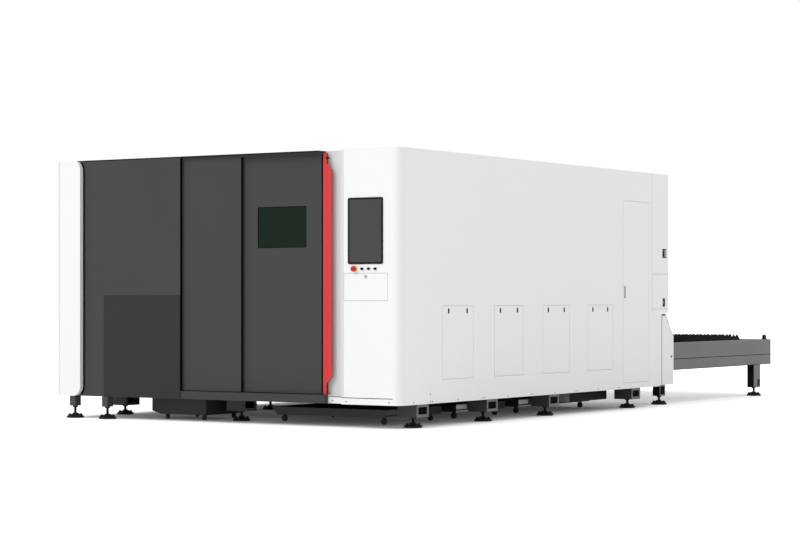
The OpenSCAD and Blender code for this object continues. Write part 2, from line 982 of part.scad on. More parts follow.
// Controls
module monitor_housing() {
    u = [monitor_u, monitor_u + monitor_w];
    z = [monitor_z, monitor_z + monitor_h];
    body_in = monitor_body + fit_gap;
    color(black)
        difference() {
            union() {
                front_round(u, [-bezel_t, 0], z, bezel_r);
                plate(grow(u, -body_in), [0, monitor_d], grow(z, -body_in));
            }
            front_round(grow(u, -bezel_w), [-bezel_t - eps, -bezel_t + glass_t], grow(z, -bezel_w), bezel_r / 2);
        }
}

module monitor_glass() {
    u = [monitor_u, monitor_u + monitor_w];
    z = [monitor_z, monitor_z + monitor_h];
    lip = 0.5;
    color("#2E3133")
        front_round(grow(u, -bezel_w - fit_gap), [-bezel_t + lip, -bezel_t + glass_t],
                    grow(z, -bezel_w - fit_gap), bezel_r / 2);
}

module stop_collar() {
    color(yellow)
        difference() {
            bar_y(stop_u, [-collar_t, 0], button_z, collar_r);
            bar_y(stop_u, [-collar_t - eps, eps], button_z, stem_r + fit_gap);
        }
}

module stop_button() {
    color(red) {
        translate([px(stop_u), py(-stop_reach + head_t), button_z])
            rotate([90, 0, 0])
                cylinder(r1 = stop_r, r2 = stop_r * 0.82, h = head_t);
        bar_y(stop_u, [-stop_reach + head_t, button_depth], button_z, stem_r);
    }
}

module push_button(i) {
    color(black)
        bar_y(button_u + i * button_pitch, [-button_reach, button_depth], button_z, button_r);
}

module push_button_1() {
    push_button(0);
}

module push_button_2() {
    push_button(1);
}

module push_button_3() {
    push_button(2);
}

module keyboard_flap() {
    color(white)
        difference() {
            front_pan(desk_u_span, 0, desk_z_span, hatch_d);
            desk_pins(pin_r + fit_gap, eps);
            bar_y(desk_u + desk_w / 2, [-eps, sheet_t + eps], desk_z + desk_h - lock_drop, lock_r / 2 + fit_gap);
        }
}

// Keyboard clipped to the inner face of its flap, keys towards the inside
module keyboard() {
    side = 24;
    low = 22;
    base_h = 138;
    base_t = 7;
    key_t = 4;
    rows = 5;
    columns = 14;
    margin = 8;
    u = grow(desk_u_span, -side);
    z = [desk_z + low, desk_z + low + base_h];
    pitch_u = (u[1] - u[0] - 2 * margin) / columns;
    pitch_z = (base_h - 2 * margin) / rows;
    key_gap = 3;
    color(black) {
        plate(u, [sheet_t, sheet_t + base_t], z);
        for (c = [0:columns - 1], r = [0:rows - 1])
            plate([u[0] + margin + c * pitch_u, u[0] + margin + (c + 1) * pitch_u - key_gap],
                  [sheet_t + base_t, sheet_t + base_t + key_t],
                  [z[0] + margin + r * pitch_z, z[0] + margin + (r + 1) * pitch_z - key_gap]);
    }
}

module flap_lock() {
    u = desk_u + desk_w / 2;
    z = desk_z + desk_h - lock_drop;
    slot_w = 3;
    color(steel)
        difference() {
            union() {
                bar_y(u, [-6, -fit_gap], z, lock_r);
                bar_y(u, [-fit_gap, 14], z, lock_r / 2);
            }
            plate([u - slot_w / 2, u + slot_w / 2], [-7, -3], [z - lock_r * 0.6, z + lock_r * 0.6]);
        }
}

// Side hatches
module cup_body(v, z) {
    plate([0, cup_d], v, z);
}

module cup_hollow(v, z) {
    plate([-eps, cup_d - 2], grow(v, -2), grow(z, -2));
}

module side_flap(i) {
    v = flap_place(i);
    pull_z = [flap_span[1] - pull_drop - pull_h / 2, flap_span[1] - pull_drop + pull_h / 2];
    pulls = [for (m = [v[0] + pull_in, v[1] - pull_in]) [m - pull_w / 2, m + pull_w / 2]];
    color(white)
        difference() {
            union() {
                side_pan(v, flap_span, hatch_d);
                for (p = pulls)
                    cup_body(p, pull_z);
            }
            for (p = pulls)
                cup_hollow(p, pull_z);
            lying_pins(v, flap_z + pin_in, pin_r + fit_gap, eps);
        }
}

module side_flap_1() {
    side_flap(0);
}

module side_flap_2() {
    side_flap(1);
}

module side_flap_3() {
    side_flap(2);
}

module side_flap_4() {
    side_flap(3);
}

grip_in = 14;
grip_up = 779;
grip_v = [service_v + grip_in, service_v + grip_in + grip_w];
grip_z = [service_z + grip_up, service_z + grip_up + grip_h];

module service_door() {
    color(white)
        difference() {
            side_pan(service_place, service_span, hatch_d);
            upright_pins(service_place[1] - pin_in, service_span, pin_r + fit_gap, eps);
            plate([-eps, sheet_t + eps], grow(grip_v, fit_gap), grow(grip_z, fit_gap));
        }
}

module service_grip() {
    color(black)
        difference() {
            cup_body(grip_v, grip_z);
            cup_hollow(grip_v, grip_z);
        }
}

latch_pocket_v = [latch_v - latch_room, latch_v + latch_w + latch_room];
latch_pocket_z = [latch_z - latch_room, latch_z + latch_h + latch_room];
latch_pin_z = latch_z + latch_h - 6;

module box_door() {
    color(white)
        difference() {
            union() {
                side_pan(box_place, box_span, hatch_d);
                plate([0, hatch_d], latch_pocket_v, latch_pocket_z);
            }
            plate([-eps, hatch_d - 2], grow(latch_pocket_v, -2), grow(latch_pocket_z, -2));
            upright_pins(box_place[0] + pin_in, box_span, pin_r + fit_gap, eps);
            bar_y(pin_in, grow(latch_pocket_v, -1), latch_pin_z, 2 + fit_gap);
        }
}

// Paddle latch hung on its own pin in the pocket
module box_latch() {
    color(black) {
        plate([2, 2 + latch_t], [latch_v, latch_v + latch_w], [latch_z, latch_z + latch_h]);
        bar_y(pin_in, grow(latch_pocket_v, -1.5), latch_pin_z, 2);
    }
}

module switch_pocket() {
    half = switch_size / 2 - fit_gap;
    v = [switch_v - half, switch_v + half];
    z = [switch_z - half, switch_z + half];
    color(black)
        difference() {
            plate([0, switch_d], v, z);
            plate([-eps, switch_d - 4], grow(v, -3), grow(z, -3));
            bar_x([switch_d - 5, switch_d + eps], switch_v, switch_z, 6 + fit_gap);
        }
}

module switch_handle() {
    dial_r = switch_size * 0.36;
    grip = switch_size * 0.31;
    back = switch_d - 4 - fit_gap;
    color(red) {
        bar_x([14, back], switch_v, switch_z, dial_r);
        bar_x([back, switch_d], switch_v, switch_z, 6);
        plate([3, 14], [switch_v - 7, switch_v + 7], [switch_z - grip, switch_z + grip]);
    }
}

// Shuttle table
module table_beam() {
    difference() {
        plate(bed_u, [bed_end + 2, table_end_v], [tube_top, table_top]);
        plate([bed_u[0] - eps, bed_u[0] + groove_d], [bed_end, table_end_v + eps], [groove_z, groove_z + groove_h]);
    }
    difference() {
        plate([bed_u[0], bed_u[0] + leg_w], leg_v, [leg_foot_z, tube_top]);
        // pocket at the foot of the leg
        plate([bed_u[0] - eps, bed_u[0] + leg_w * 0.8], [leg_v[1] - hook_w, leg_v[1] - leg_rim],
              [leg_foot_z + leg_rim, leg_foot_z + leg_rim + hook_h]);
    }
}

module table_frame() {
    inner = [bed_u[1], body_w - bed_u[1]];
    end_w = 90;
    color(grey) {
        table_beam();
        mirror([1, 0, 0])
            table_beam();
        plate(inner, [table_end_v - end_w, table_end_v], [tube_top, table_top]);
    }
}

// Ledges for the two pallets, one above the other
module rail_pair() {
    for (top = [rail_low_z, rail_low_z + rail_rise])
        plate(rail_u, rail_v, [top - rail_t, top]);
}

module pallet_rails() {
    color(steel) {
        rail_pair();
        mirror([1, 0, 0])
            rail_pair();
    }
}

module end_stops() {
    stop_v = [table_end_v - stop_back, table_end_v - stop_back + stop_l];
    wide = [track_u - stop_w / 2, track_u + stop_w / 2];
    color(black)
        for (u = [wide, [body_w - wide[1], body_w - wide[0]]]) {
            plate(u, stop_v, [table_top, table_top + stop_h]);
            plate(u, grow(stop_v, stop_l / 2), [table_top, table_top + stop_foot]);
        }
}

// Pallet frame on flanged wheels, with ledgers for the slats
module pallet_frame(v0, wheel_z) {
    v = [v0, v0 + pallet_l];
    z = [wheel_z - frame_drop, wheel_z - frame_drop + pallet_h];
    slat_foot = wheel_z + slat_rise - slat_h;
    outer = [pallet_u, body_w - pallet_u];
    inner = grow(outer, -pallet_bar);
    difference() {
        plate(outer, v, z);
        plate(inner, grow(v, -pallet_bar), grow(z, eps));
    }
    for (m = [inner[0], (inner[0] + inner[1] - ledger_w) / 2, inner[1] - ledger_w])
        plate([m, m + ledger_w], grow(v, -pallet_bar), [z[0], slat_foot]);
    for (p = [v[0] + wheel_in, (v[0] + v[1]) / 2, v[1] - wheel_in]) {
        bar_x([rail_u[0] + 6, pallet_u], p, wheel_z, wheel_r);
        bar_x([body_w - pallet_u, body_w - rail_u[0] - 6], p, wheel_z, wheel_r);
    }
}

// One slat: a plate with saw teeth along its upper edge
module slat(length) {
    teeth = floor(length / tooth_pitch);
    margin = (length - teeth * tooth_pitch) / 2;
    valley = slat_h - tooth_d;
    points = [for (i = [0:teeth - 1], half = [0, 0.5])
              [margin + (i + half) * tooth_pitch, half == 0 ? valley : slat_h]];
    rotate([90, 0, 0])
        linear_extrude(slat_t)
            polygon(concat([[0, 0], [0, valley]], points, [[length - margin, valley], [length, valley], [length, 0]]));
}

module slat_bed(v0, wheel_z) {
    length = body_w - 2 * (pallet_u + pallet_bar) - 2 * fit_gap;
    room = pallet_l - 2 * pallet_bar;
    count = floor(room / slat_pitch);
    start = v0 + pallet_bar + (room - (count - 1) * slat_pitch) / 2;
    for (i = [0:count - 1])
        translate([-length / 2, py(start + i * slat_pitch + slat_t / 2), wheel_z + slat_rise - slat_h])
            slat(length);
}

module inner_pallet() {
    color(grey)
        pallet_frame(pallet_v, lower_wheel_z);
}

module inner_slats() {
    color(darker)
        slat_bed(pallet_v, lower_wheel_z);
}

module outer_pallet() {
    color(grey)
        pallet_frame(pallet_v + pallet_travel, upper_wheel_z);
}

module outer_slats() {
    color(darker)
        slat_bed(pallet_v + pallet_travel, upper_wheel_z);
}

// Gantry, carriage and cutting head
module gantry_rails() {
    span = [track_u - track_w / 2, track_u + track_w / 2];
    color(steel)
        for (u = [span, [body_w - span[1], body_w - span[0]]])
            plate(u, [bed_v + 40, bed_end - 40], [bed_top, bed_top + track_h]);
}

module gantry_beam() {
    u = [track_u - truck_w / 2, body_w - track_u + truck_w / 2];
    v = [gantry_v, gantry_v + gantry_d];
    z = [gantry_z, gantry_z + gantry_h];
    wall = 14;
    color("#C9C9C9")
        difference() {
            plate(u, v, z);
            plate(grow(u, eps), grow(v, -wall), grow(z, -wall));
        }
    color(grey)
        for (t = [[u[0], u[0] + truck_w], [u[1] - truck_w, u[1]]])
            plate(t, grow(v, -10), [truck_z, gantry_z]);
    color(steel)
        for (low = [z[0] + 40, z[1] - 40 - guide_h])
            plate(grow(u, -truck_w), [v[0] - guide_d, v[0]], [low, low + guide_h]);
}

carriage_back = gantry_v - guide_d - fit_gap;
carriage_front = carriage_back - carriage_t;
middle_u = body_w / 2;

module carriage() {
    z = [gantry_z + 10, gantry_z + gantry_h - 10];
    half = carriage_w / 2;
    rail_half = 65;
    rail_wide = 15;
    color("#C9C9C9")
        plate([middle_u - half, middle_u + half], [carriage_front, carriage_back], z);
    color(steel)
        for (u = [middle_u - rail_half, middle_u + rail_half - rail_wide])
            plate([u, u + rail_wide], [carriage_front - slide_t, carriage_front], z);
}

// Slide plate with the round head body, its collimator neck and the nozzle cone
module cutting_head() {
    back = carriage_front - slide_t - fit_gap;
    front = back - head_plate_t;
    axis_v = front - head_r + 6;
    body_z = nozzle_z + 95;
    body_top = body_z + 190;
    color(grey)
        plate([middle_u - 75, middle_u + 75], [front, back], [body_z - 20, body_top + 90]);
    color(black) {
        bar_z(middle_u, axis_v, [body_z, body_top], head_r);
        bar_z(middle_u, axis_v, [body_top, body_top + 80], head_r * 0.7);
        translate([px(middle_u), py(axis_v), nozzle_z + 18])
            cylinder(r1 = 14, r2 = head_r * 0.8, h = body_z - nozzle_z - 18);
    }
    color("#C08A4A")
        translate([px(middle_u), py(axis_v), nozzle_z])
            cylinder(r1 = 4, r2 = 12, h = 18);
}

// Trays and bin on casters
module caster(u, v, r, top, roll_x) {
    wide = 18;
    fork = 5;
    bar_z(u, v, [2 * r + 1, top], 14);
    if (roll_x) {
        bar_y(u, [v - wide / 2, v + wide / 2], r + fit_gap, r);
        for (s = [-wide / 2 - fork, wide / 2])
            plate([u - 12, u + 12], [v + s, v + s + fork], [r - 8, 2 * r + 6]);
        plate([u - 12, u + 12], [v - wide / 2 - fork, v + wide / 2 + fork], [2 * r + 1, 2 * r + 6]);
    } else {
        bar_x([u - wide / 2, u + wide / 2], v, r + fit_gap, r);
        for (s = [-wide / 2 - fork, wide / 2])
            plate([u + s, u + s + fork], [v - 12, v + 12], [r - 8, 2 * r + 6]);
        plate([u - wide / 2 - fork, u + wide / 2 + fork], [v - 12, v + 12], [2 * r + 1, 2 * r + 6]);
    }
}

// Each tray lies between two foot blocks of the right-hand row
function tray_place(i) = [right_feet[i] + block_s / 2 + tray_gap, right_feet[i + 1] - block_s / 2 - tray_gap];

// Tray outline across the machine, with its far end sloping outwards
module tray_outline(inset, top) {
    low = tray_z + inset;
    polygon([[1.5 * inset, top], [tray_slant + inset, low], [tray_w - inset, low], [tray_w - inset, top]]);
}

module slag_tray(i, grip = true) {
    u = [tray_u, tray_u + tray_w];
    v = tray_place(i);
    z = [tray_z, tray_z + tray_h];
    grip_r = 8;
    grip_drop = 25;
    reach = 70;
    post = 120;
    mid = (v[0] + v[1]) / 2;
    color("#333333") {
        translate([px(u[1]), py(v[1]), 0])
            rotate([90, 0, 0])
                difference() {
                    linear_extrude(v[1] - v[0])
                        tray_outline(0, z[1]);
                    translate([0, 0, sheet_t])
                        linear_extrude(v[1] - v[0] - 2 * sheet_t)
                            tray_outline(sheet_t, z[1] + eps);
                }
        for (cu = [u[0] + tray_slant, u[1] - tray_slant - caster_r], cv = grow(v, -caster_in))
            caster(cu, cv, caster_r, z[0], true);
    }
    if (grip) color(steel) {
        for (m = [mid - post, mid + post])
            bar_x([u[0] - reach, u[0] + sheet_t / 2], m, z[1] - grip_drop, grip_r * 0.8);
        bar_y(u[0] - reach, [mid - post - grip_r, mid + post + grip_r], z[1] - grip_drop, grip_r);
    }
}

module slag_tray_1() {
    slag_tray(0);
}

module slag_tray_2() {
    slag_tray(1);
}

// Tray with a chip box at its outer end, by which it is pulled
module slag_tray_3() {
    slag_tray(2, false);
    z = [chip_z, panel_z - chip_gap];
    color("#333333") {
        difference() {
            plate([chip_u, chip_end], chip_v, z);
            plate(grow([chip_u, chip_end], -sheet_t), grow(chip_v, -sheet_t), [z[0] + sheet_t, z[1] + eps]);
        }
        // shelf between the box and the tray
        plate([chip_end - eps, tray_u + sheet_t / 2], chip_v, [tray_z + tray_h - sheet_t, tray_z + tray_h]);
    }
}

// Bin outline across the machine, with its lower left corner cut off
module bin_outline(inset, top) {
    cut = 90;
    w = bin_w - inset;
    floor_z = bin_z + inset;
    polygon([[inset, floor_z + cut * 0.3], [cut, floor_z], [w, floor_z], [w, top], [inset, top]]);
}

module scrap_bin() {
    wall = 3;
    top = panel_z - 5;
    far = bin_v + bin_l;
    wheel = bin_z / 2 - 3;
    color("#333333") {
        difference() {
            translate([px(bin_u + bin_w), py(far), 0])
                rotate([90, 0, 0])
                    linear_extrude(bin_l)
                        bin_outline(0, top);
            translate([px(bin_u + bin_w), py(far - wall), 0])
                rotate([90, 0, 0])
                    linear_extrude(bin_l - 2 * wall)
                        bin_outline(wall, top + eps);
        }
        for (cu = [bin_u + 55, bin_u + bin_w - 130], cv = [bin_v + 50, far - 40])
            caster(cu, cv, wheel, bin_z, false);
    }
}

bed_frame();
foot_blocks();
foot_pads();
foot_studs();
right_wall();
left_wall();
roof();
rear_wall();
end_columns();
rear_skirts();
fixed_panel();
access_panel();
left_pillar();
control_pillar();
kick_plate();
door_sill();
door_header();
door_jamb();
monitor_housing();
monitor_glass();
stop_collar();
stop_button();
push_button_1();
push_button_2();
push_button_3();
keyboard_flap();
keyboard();
flap_lock();
lead_door();
lead_rollers();
door_window();
door_seal();
door_edge();
trailing_door();
trailing_rollers();
side_flap_1();
side_flap_2();
side_flap_3();
side_flap_4();
service_door();
service_grip();
box_door();
box_latch();
switch_pocket();
switch_handle();
table_frame();
pallet_rails();
end_stops();
inner_pallet();
inner_slats();
outer_pallet();
outer_slats();
gantry_rails();
gantry_beam();
carriage();
cutting_head();
slag_tray_1();
slag_tray_2();
slag_tray_3();
scrap_bin();
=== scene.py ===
"""Looks of an enclosed fiber laser cutting machine with a shuttle table.

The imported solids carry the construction. This script dresses them: every solid gets the finish of
its real material, and small fittings that are too fine for the solids are added as numpy surfaces.

Sizes and places in the classes are millimetres, as function place takes them: u leftwards from the right-hand
side, v rearwards from the front face and z above the floor.
"""

import logging
import math
from dataclasses import dataclass, field, replace
from enum import Enum
from typing import Iterable, Sequence

import bpy
import numpy as np
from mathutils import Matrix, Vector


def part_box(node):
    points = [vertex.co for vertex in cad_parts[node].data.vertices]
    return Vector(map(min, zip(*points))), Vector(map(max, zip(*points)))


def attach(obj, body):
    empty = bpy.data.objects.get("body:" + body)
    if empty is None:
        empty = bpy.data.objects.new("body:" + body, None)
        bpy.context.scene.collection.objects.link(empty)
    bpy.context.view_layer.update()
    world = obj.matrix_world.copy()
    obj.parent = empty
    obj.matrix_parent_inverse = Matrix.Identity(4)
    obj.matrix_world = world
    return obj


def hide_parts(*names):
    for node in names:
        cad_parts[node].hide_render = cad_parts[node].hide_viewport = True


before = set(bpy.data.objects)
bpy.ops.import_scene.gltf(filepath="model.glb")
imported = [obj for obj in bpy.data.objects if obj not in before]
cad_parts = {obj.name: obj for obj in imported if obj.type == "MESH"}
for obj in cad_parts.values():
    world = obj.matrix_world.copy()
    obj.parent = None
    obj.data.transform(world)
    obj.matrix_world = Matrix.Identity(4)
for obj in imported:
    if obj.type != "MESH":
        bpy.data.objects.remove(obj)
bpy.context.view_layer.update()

log = logging.getLogger("laser_cutter")

MM = 0.001
RIGHT_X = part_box("right_wall")[1].x
FRONT_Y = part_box("control_pillar")[0].y
BODY_W = 2 * RIGHT_X / MM
SMOOTH_ANGLE = math.radians(32)
# Least corner radius in millimetres, so that the points of a sharp corner stay apart
SHARP = 0.05
MACHINE = "machine"


class Facing(Enum):
    """Which way the local +Z of a fitting looks; the rows are the local axes in the shared frame."""

    FRONT = ((1, 0, 0), (0, 0, 1), (0, -1, 0))
    BACK = ((-1, 0, 0), (0, 0, 1), (0, 1, 0))
    RIGHT = ((0, 1, 0), (0, 0, 1), (1, 0, 0))
    LEFT = ((0, -1, 0), (0, 0, 1), (-1, 0, 0))
    UP = ((1, 0, 0), (0, 1, 0), (0, 0, 1))


def place(u: float, v: float, z: float) -> np.ndarray:
    """Point of the shared frame in metres.

    Args:
        u: Millimetres leftwards from the right-hand side.
        v: Millimetres rearwards from the front face.
        z: Millimetres above the floor.

    Returns:
        The point as an array of three.
    """
    return np.array([RIGHT_X - u * MM, FRONT_Y + v * MM, z * MM])


@dataclass
class Shape:
    """Surface as corner points in millimetres, quads between them and many-sided caps."""

    points: np.ndarray
    quads: np.ndarray
    caps: list[np.ndarray] = field(default_factory=list)

    def moved(self, offset: Sequence[float]) -> "Shape":
        """The same surface shifted by an offset in its own units."""
        return replace(self, points=self.points + np.asarray(offset, float))

    def stretched(self, x: float, y: float, z: float) -> "Shape":
        """The same surface scaled along its own axes by positive factors."""
        return replace(self, points=self.points * np.array([x, y, z]))

    def turned(self, facing: Facing) -> "Shape":
        """The same surface with its local axes laid along those of a facing."""
        return replace(self, points=self.points @ np.array(facing.value, float))

    def spun(self, angle: float) -> "Shape":
        """The same surface turned about its own Z axis by an angle in radians."""
        c, s = math.cos(angle), math.sin(angle)
        return replace(self, points=self.points @ np.array([[c, s, 0], [-s, c, 0], [0, 0, 1.0]]))

    def set_at(self, facing: Facing, u: float, v: float, z: float) -> "Shape":
        """The surface in metres of the shared frame, turned and then set at a place in millimetres."""
        turned = self.turned(facing)
        return replace(turned, points=turned.points * MM + place(u, v, z))

    def repeated(self, offsets: np.ndarray) -> "Shape":
        """Copies of the surface, one at each offset.

        Args:
            offsets: Array of n rows of three, in the units of the points.

        Returns:
            One surface that holds all the copies.
        """
        count, size = len(offsets), len(self.points)
        points = (offsets[:, None, :] + self.points[None, :, :]).reshape(-1, 3)
        starts = np.arange(count) * size
        quads = (starts[:, None, None] + self.quads[None, :, :]).reshape(-1, 4)
        caps = [cap + start for start in starts for cap in self.caps]
        return Shape(points, quads, caps)


def joined(shapes: Iterable[Shape]) -> Shape:
    """Several surfaces as one.

    Args:
        shapes: Surfaces in the same units.

    Returns:
        One surface with the faces of all of them.
    """
    shapes = list(shapes)
    starts = np.cumsum([0] + [len(s.points) for s in shapes])
    return Shape(
        np.concatenate([s.points for s in shapes]),
        np.concatenate([s.quads + start for s, start in zip(shapes, starts)]),
        [cap + start for s, start in zip(shapes, starts) for cap in s.caps],
    )


def stack(rings: np.ndarray, closed: bool = False) -> Shape:
    """Surface through a stack of rings: point (i, j) is point j of ring i, and j runs round.

    Args:
        rings: Array of shape (rings, points, 3), each ring counter-clockwise seen from the last ring.
        closed: Whether the last ring joins the first again, instead of a flat cap on each.

    Returns:
        The surface, facing outwards.
    """
    rows, columns, _ = rings.shape
    index = np.arange(rows * columns).reshape(rows, columns)
    low = index if closed else index[:-1]
    high = np.roll(index, -1, axis=0) if closed else index[1:]
    quads = np.stack([low, np.roll(low, -1, 1), np.roll(high, -1, 1), high], axis=-1).reshape(-1, 4)
    caps = [] if closed else [index[0][::-1], index[-1]]
    return Shape(rings.reshape(-1, 3), quads, caps)


def circle(radius: float, count: int = 32) -> np.ndarray:
    """Circle outline: r times (cos t, sin t) at equal steps of t."""
    t = np.arange(count) * (2 * math.pi / count)
    return radius * np.stack([np.cos(t), np.sin(t)], axis=-1)


def round_rect(width: float, height: float, radius: float, steps: int = 6) -> np.ndarray:
    """Rounded rectangle about the origin: quarter circles round four corner centres, counter-clockwise.

    Args:
        width: Size along the first axis.
        height: Size along the second axis.
        radius: Corner radius.
        steps: Points on each corner.

    Returns:
        Array of (4 * steps, 2) points.
    """
    t = np.linspace(0, math.pi / 2, steps)
    turns = np.arange(4)[:, None] * (math.pi / 2) + t[None, :]
    sides = np.array([[1, 1], [-1, 1], [-1, -1], [1, -1]], float)
    centres = sides * np.array([width / 2 - radius, height / 2 - radius])
    return (centres[:, None, :] + radius * np.stack([np.cos(turns), np.sin(turns)], -1)).reshape(-1, 2)


def lifted(outline: np.ndarray, height: float) -> np.ndarray:
    """An outline in the XY plane raised to a height."""
    return np.column_stack([outline, np.full(len(outline), height)])


def turned_rings(pairs: Sequence[tuple[float, float]], count: int) -> np.ndarray:
    """Rings about Z, one for each (radius, height) pair: r times (cos t, sin t), at that height."""
    radius, height = np.array(pairs, float).T[:, :, None, None]
    rise = np.broadcast_to(height, (len(height), count, 1))
    return np.concatenate([radius * circle(1.0, count)[None], rise], axis=-1)


def lathe(profile: Sequence[tuple[float, float]], count: int = 32) -> Shape:
    """Turned surface: each (radius, height) pair of the profile swept round Z, closed by end caps.

    Args:
        profile: Pairs of radius and height from the lower end to the upper end.
        count: Steps round the axis.

    Returns:
        The closed surface.
    """
    return stack(turned_rings(profile, count))


def ring_lathe(section: Sequence[tuple[float, float]], count: int = 32) -> Shape:
    """Turned ring: a closed section of (radius, height) pairs swept round Z.

    Args:
        section: Corners of the section, from its outer lower corner up, inwards and down again.
        count: Steps round the axis.

    Returns:
        The closed surface.
    """
    return stack(turned_rings(section, count), closed=True)


def round_about(count: int, radius: float, start: float = 0.0) -> np.ndarray:
    """Offsets at equal steps on a circle about Z."""
    t = start + np.arange(count) * (2 * math.pi / count)
    return np.stack([np.cos(t), np.sin(t), np.zeros(count)], axis=-1) * radius


def inset_rings(
    width: float, height: float, radius: float, steps: int, section: Iterable[tuple[float, float]]
) -> np.ndarray:
    """Rounded rectangles, each drawn in by i and raised to h for one (i, h) pair of a section.

    Args:
        width: Outer width.
        height: Outer height.
        radius: Outer corner radius.
        steps: Points on each corner.
        section: Pairs of inset and height.

    Returns:
        Array of shape (pairs, points, 3).
    """
    return np.stack([
        lifted(round_rect(width - 2 * i, height - 2 * i, max(radius - i, SHARP), steps), h) for i, h in section
    ])


def slab(width: float, height: float, depth: float, radius: float, edge: float, steps: int = 5) -> Shape:
    """Rounded slab whose front edge is eased: rings shrink by e(1-cos a) while they rise by e sin a.

    Args:
        width: Size along X.
        height: Size along Y.
        depth: Size along Z, from 0.
        radius: Corner radius of the outline.
        edge: Radius of the eased front edge.
        steps: Points on each corner.

    Returns:
        The closed surface.
    """
    a = np.linspace(0, math.pi / 2, 4)
    inset = np.concatenate([[0.0], edge * (1 - np.cos(a))])
    rise = np.concatenate([[0.0], depth - edge + edge * np.sin(a)])
    return stack(inset_rings(width, height, radius, steps, zip(inset, rise)))


def frame_ring(width: float, height: float, radius: float, band: float, depth: float, steps: int = 6) -> Shape:
    """Flat ring round a rounded rectangle: a rectangle with eased front corners, run round the outline.

    Args:
        width: Outer width.
        height: Outer height.
        radius: Outer corner radius.
        band: Width of the ring.
        depth: Height of the ring above its base.
        steps: Points on each corner.

    Returns:
        The closed surface.
    """
    ease = min(band, depth) * 0.3
    section = [(0, 0), (0, depth - ease), (ease, depth), (band - ease, depth), (band, depth - ease), (band, 0)]
    return stack(inset_rings(width, height, radius, steps, section), closed=True)


def swept(path: np.ndarray, outline: np.ndarray, up: Sequence[float]) -> Shape:
    """Outline carried along a path: its first axis lies along tangent x up, its second along up made square to it.

    Args:
        path: Array of (n, 3) points.
        outline: Counter-clockwise section of (m, 2) points.
        up: Direction that isn't along the path anywhere.

    Returns:
        The surface, with an end cap at each end of the path.
    """
    tangent = np.gradient(path, axis=0)
    tangent /= np.linalg.norm(tangent, axis=1, keepdims=True)
    side = np.cross(tangent, np.asarray(up, float))
    side /= np.linalg.norm(side, axis=1, keepdims=True)
    top = np.cross(side, tangent)
    across, along = outline[None, :, 0, None], outline[None, :, 1, None]
    rings = path[:, None, :] + side[:, None, :] * across + top[:, None, :] * along
    return stack(rings[:, ::-1])


def linear(colour: str) -> tuple[float, float, float, float]:
    """An sRGB hex colour as linear red, green, blue and alpha."""
    channels = [int(colour.lstrip("#")[i : i + 2], 16) / 255 for i in (0, 2, 4)]
    return (*(c / 12.92 if c <= 0.04045 else ((c + 0.055) / 1.055) ** 2.4 for c in channels), 1.0)


def add(tree: bpy.types.NodeTree, kind: str, links: dict | None = None, **settings: object) -> bpy.types.Node:
    """A new node with its values and links.

    Args:
        tree: The tree that gets the node.
        kind: Blender's name for the node type.
        links: Values or output sockets by input name or number.
        settings: Properties of the node itself.

    Returns:
        The node.
    """
    node = tree.nodes.new(kind)
    for name, value in settings.items():
        setattr(node, name, value)
    for name, value in (links or {}).items():
        if isinstance(value, bpy.types.NodeSocket):
            tree.links.new(value, node.inputs[name])
        else:
            node.inputs[name].default_value = value
    return node


# Share of the noise's range that is stretched over the whole change in roughness and in tone
GLOSS_RANGE = (0.3, 0.7)
TONE_RANGE = (0.3, 0.72)
# Change in roughness of a new surface, and how much of the wear is added to it
GLOSS_SPREAD = 0.04
WORN_SPREAD = 0.5
LEAST_ROUGHNESS = 0.03
BUMP_STRENGTH = 0.5


def per_metre(size_mm: float) -> float:
    """Noise scale whose features are about one size in millimetres across."""
    return 1 / (size_mm * MM)


class Wear(Enum):
    """How far a finish departs from its even colour."""

    NEW = 0.0
    HANDLED = 0.06
    WORKED = 0.16


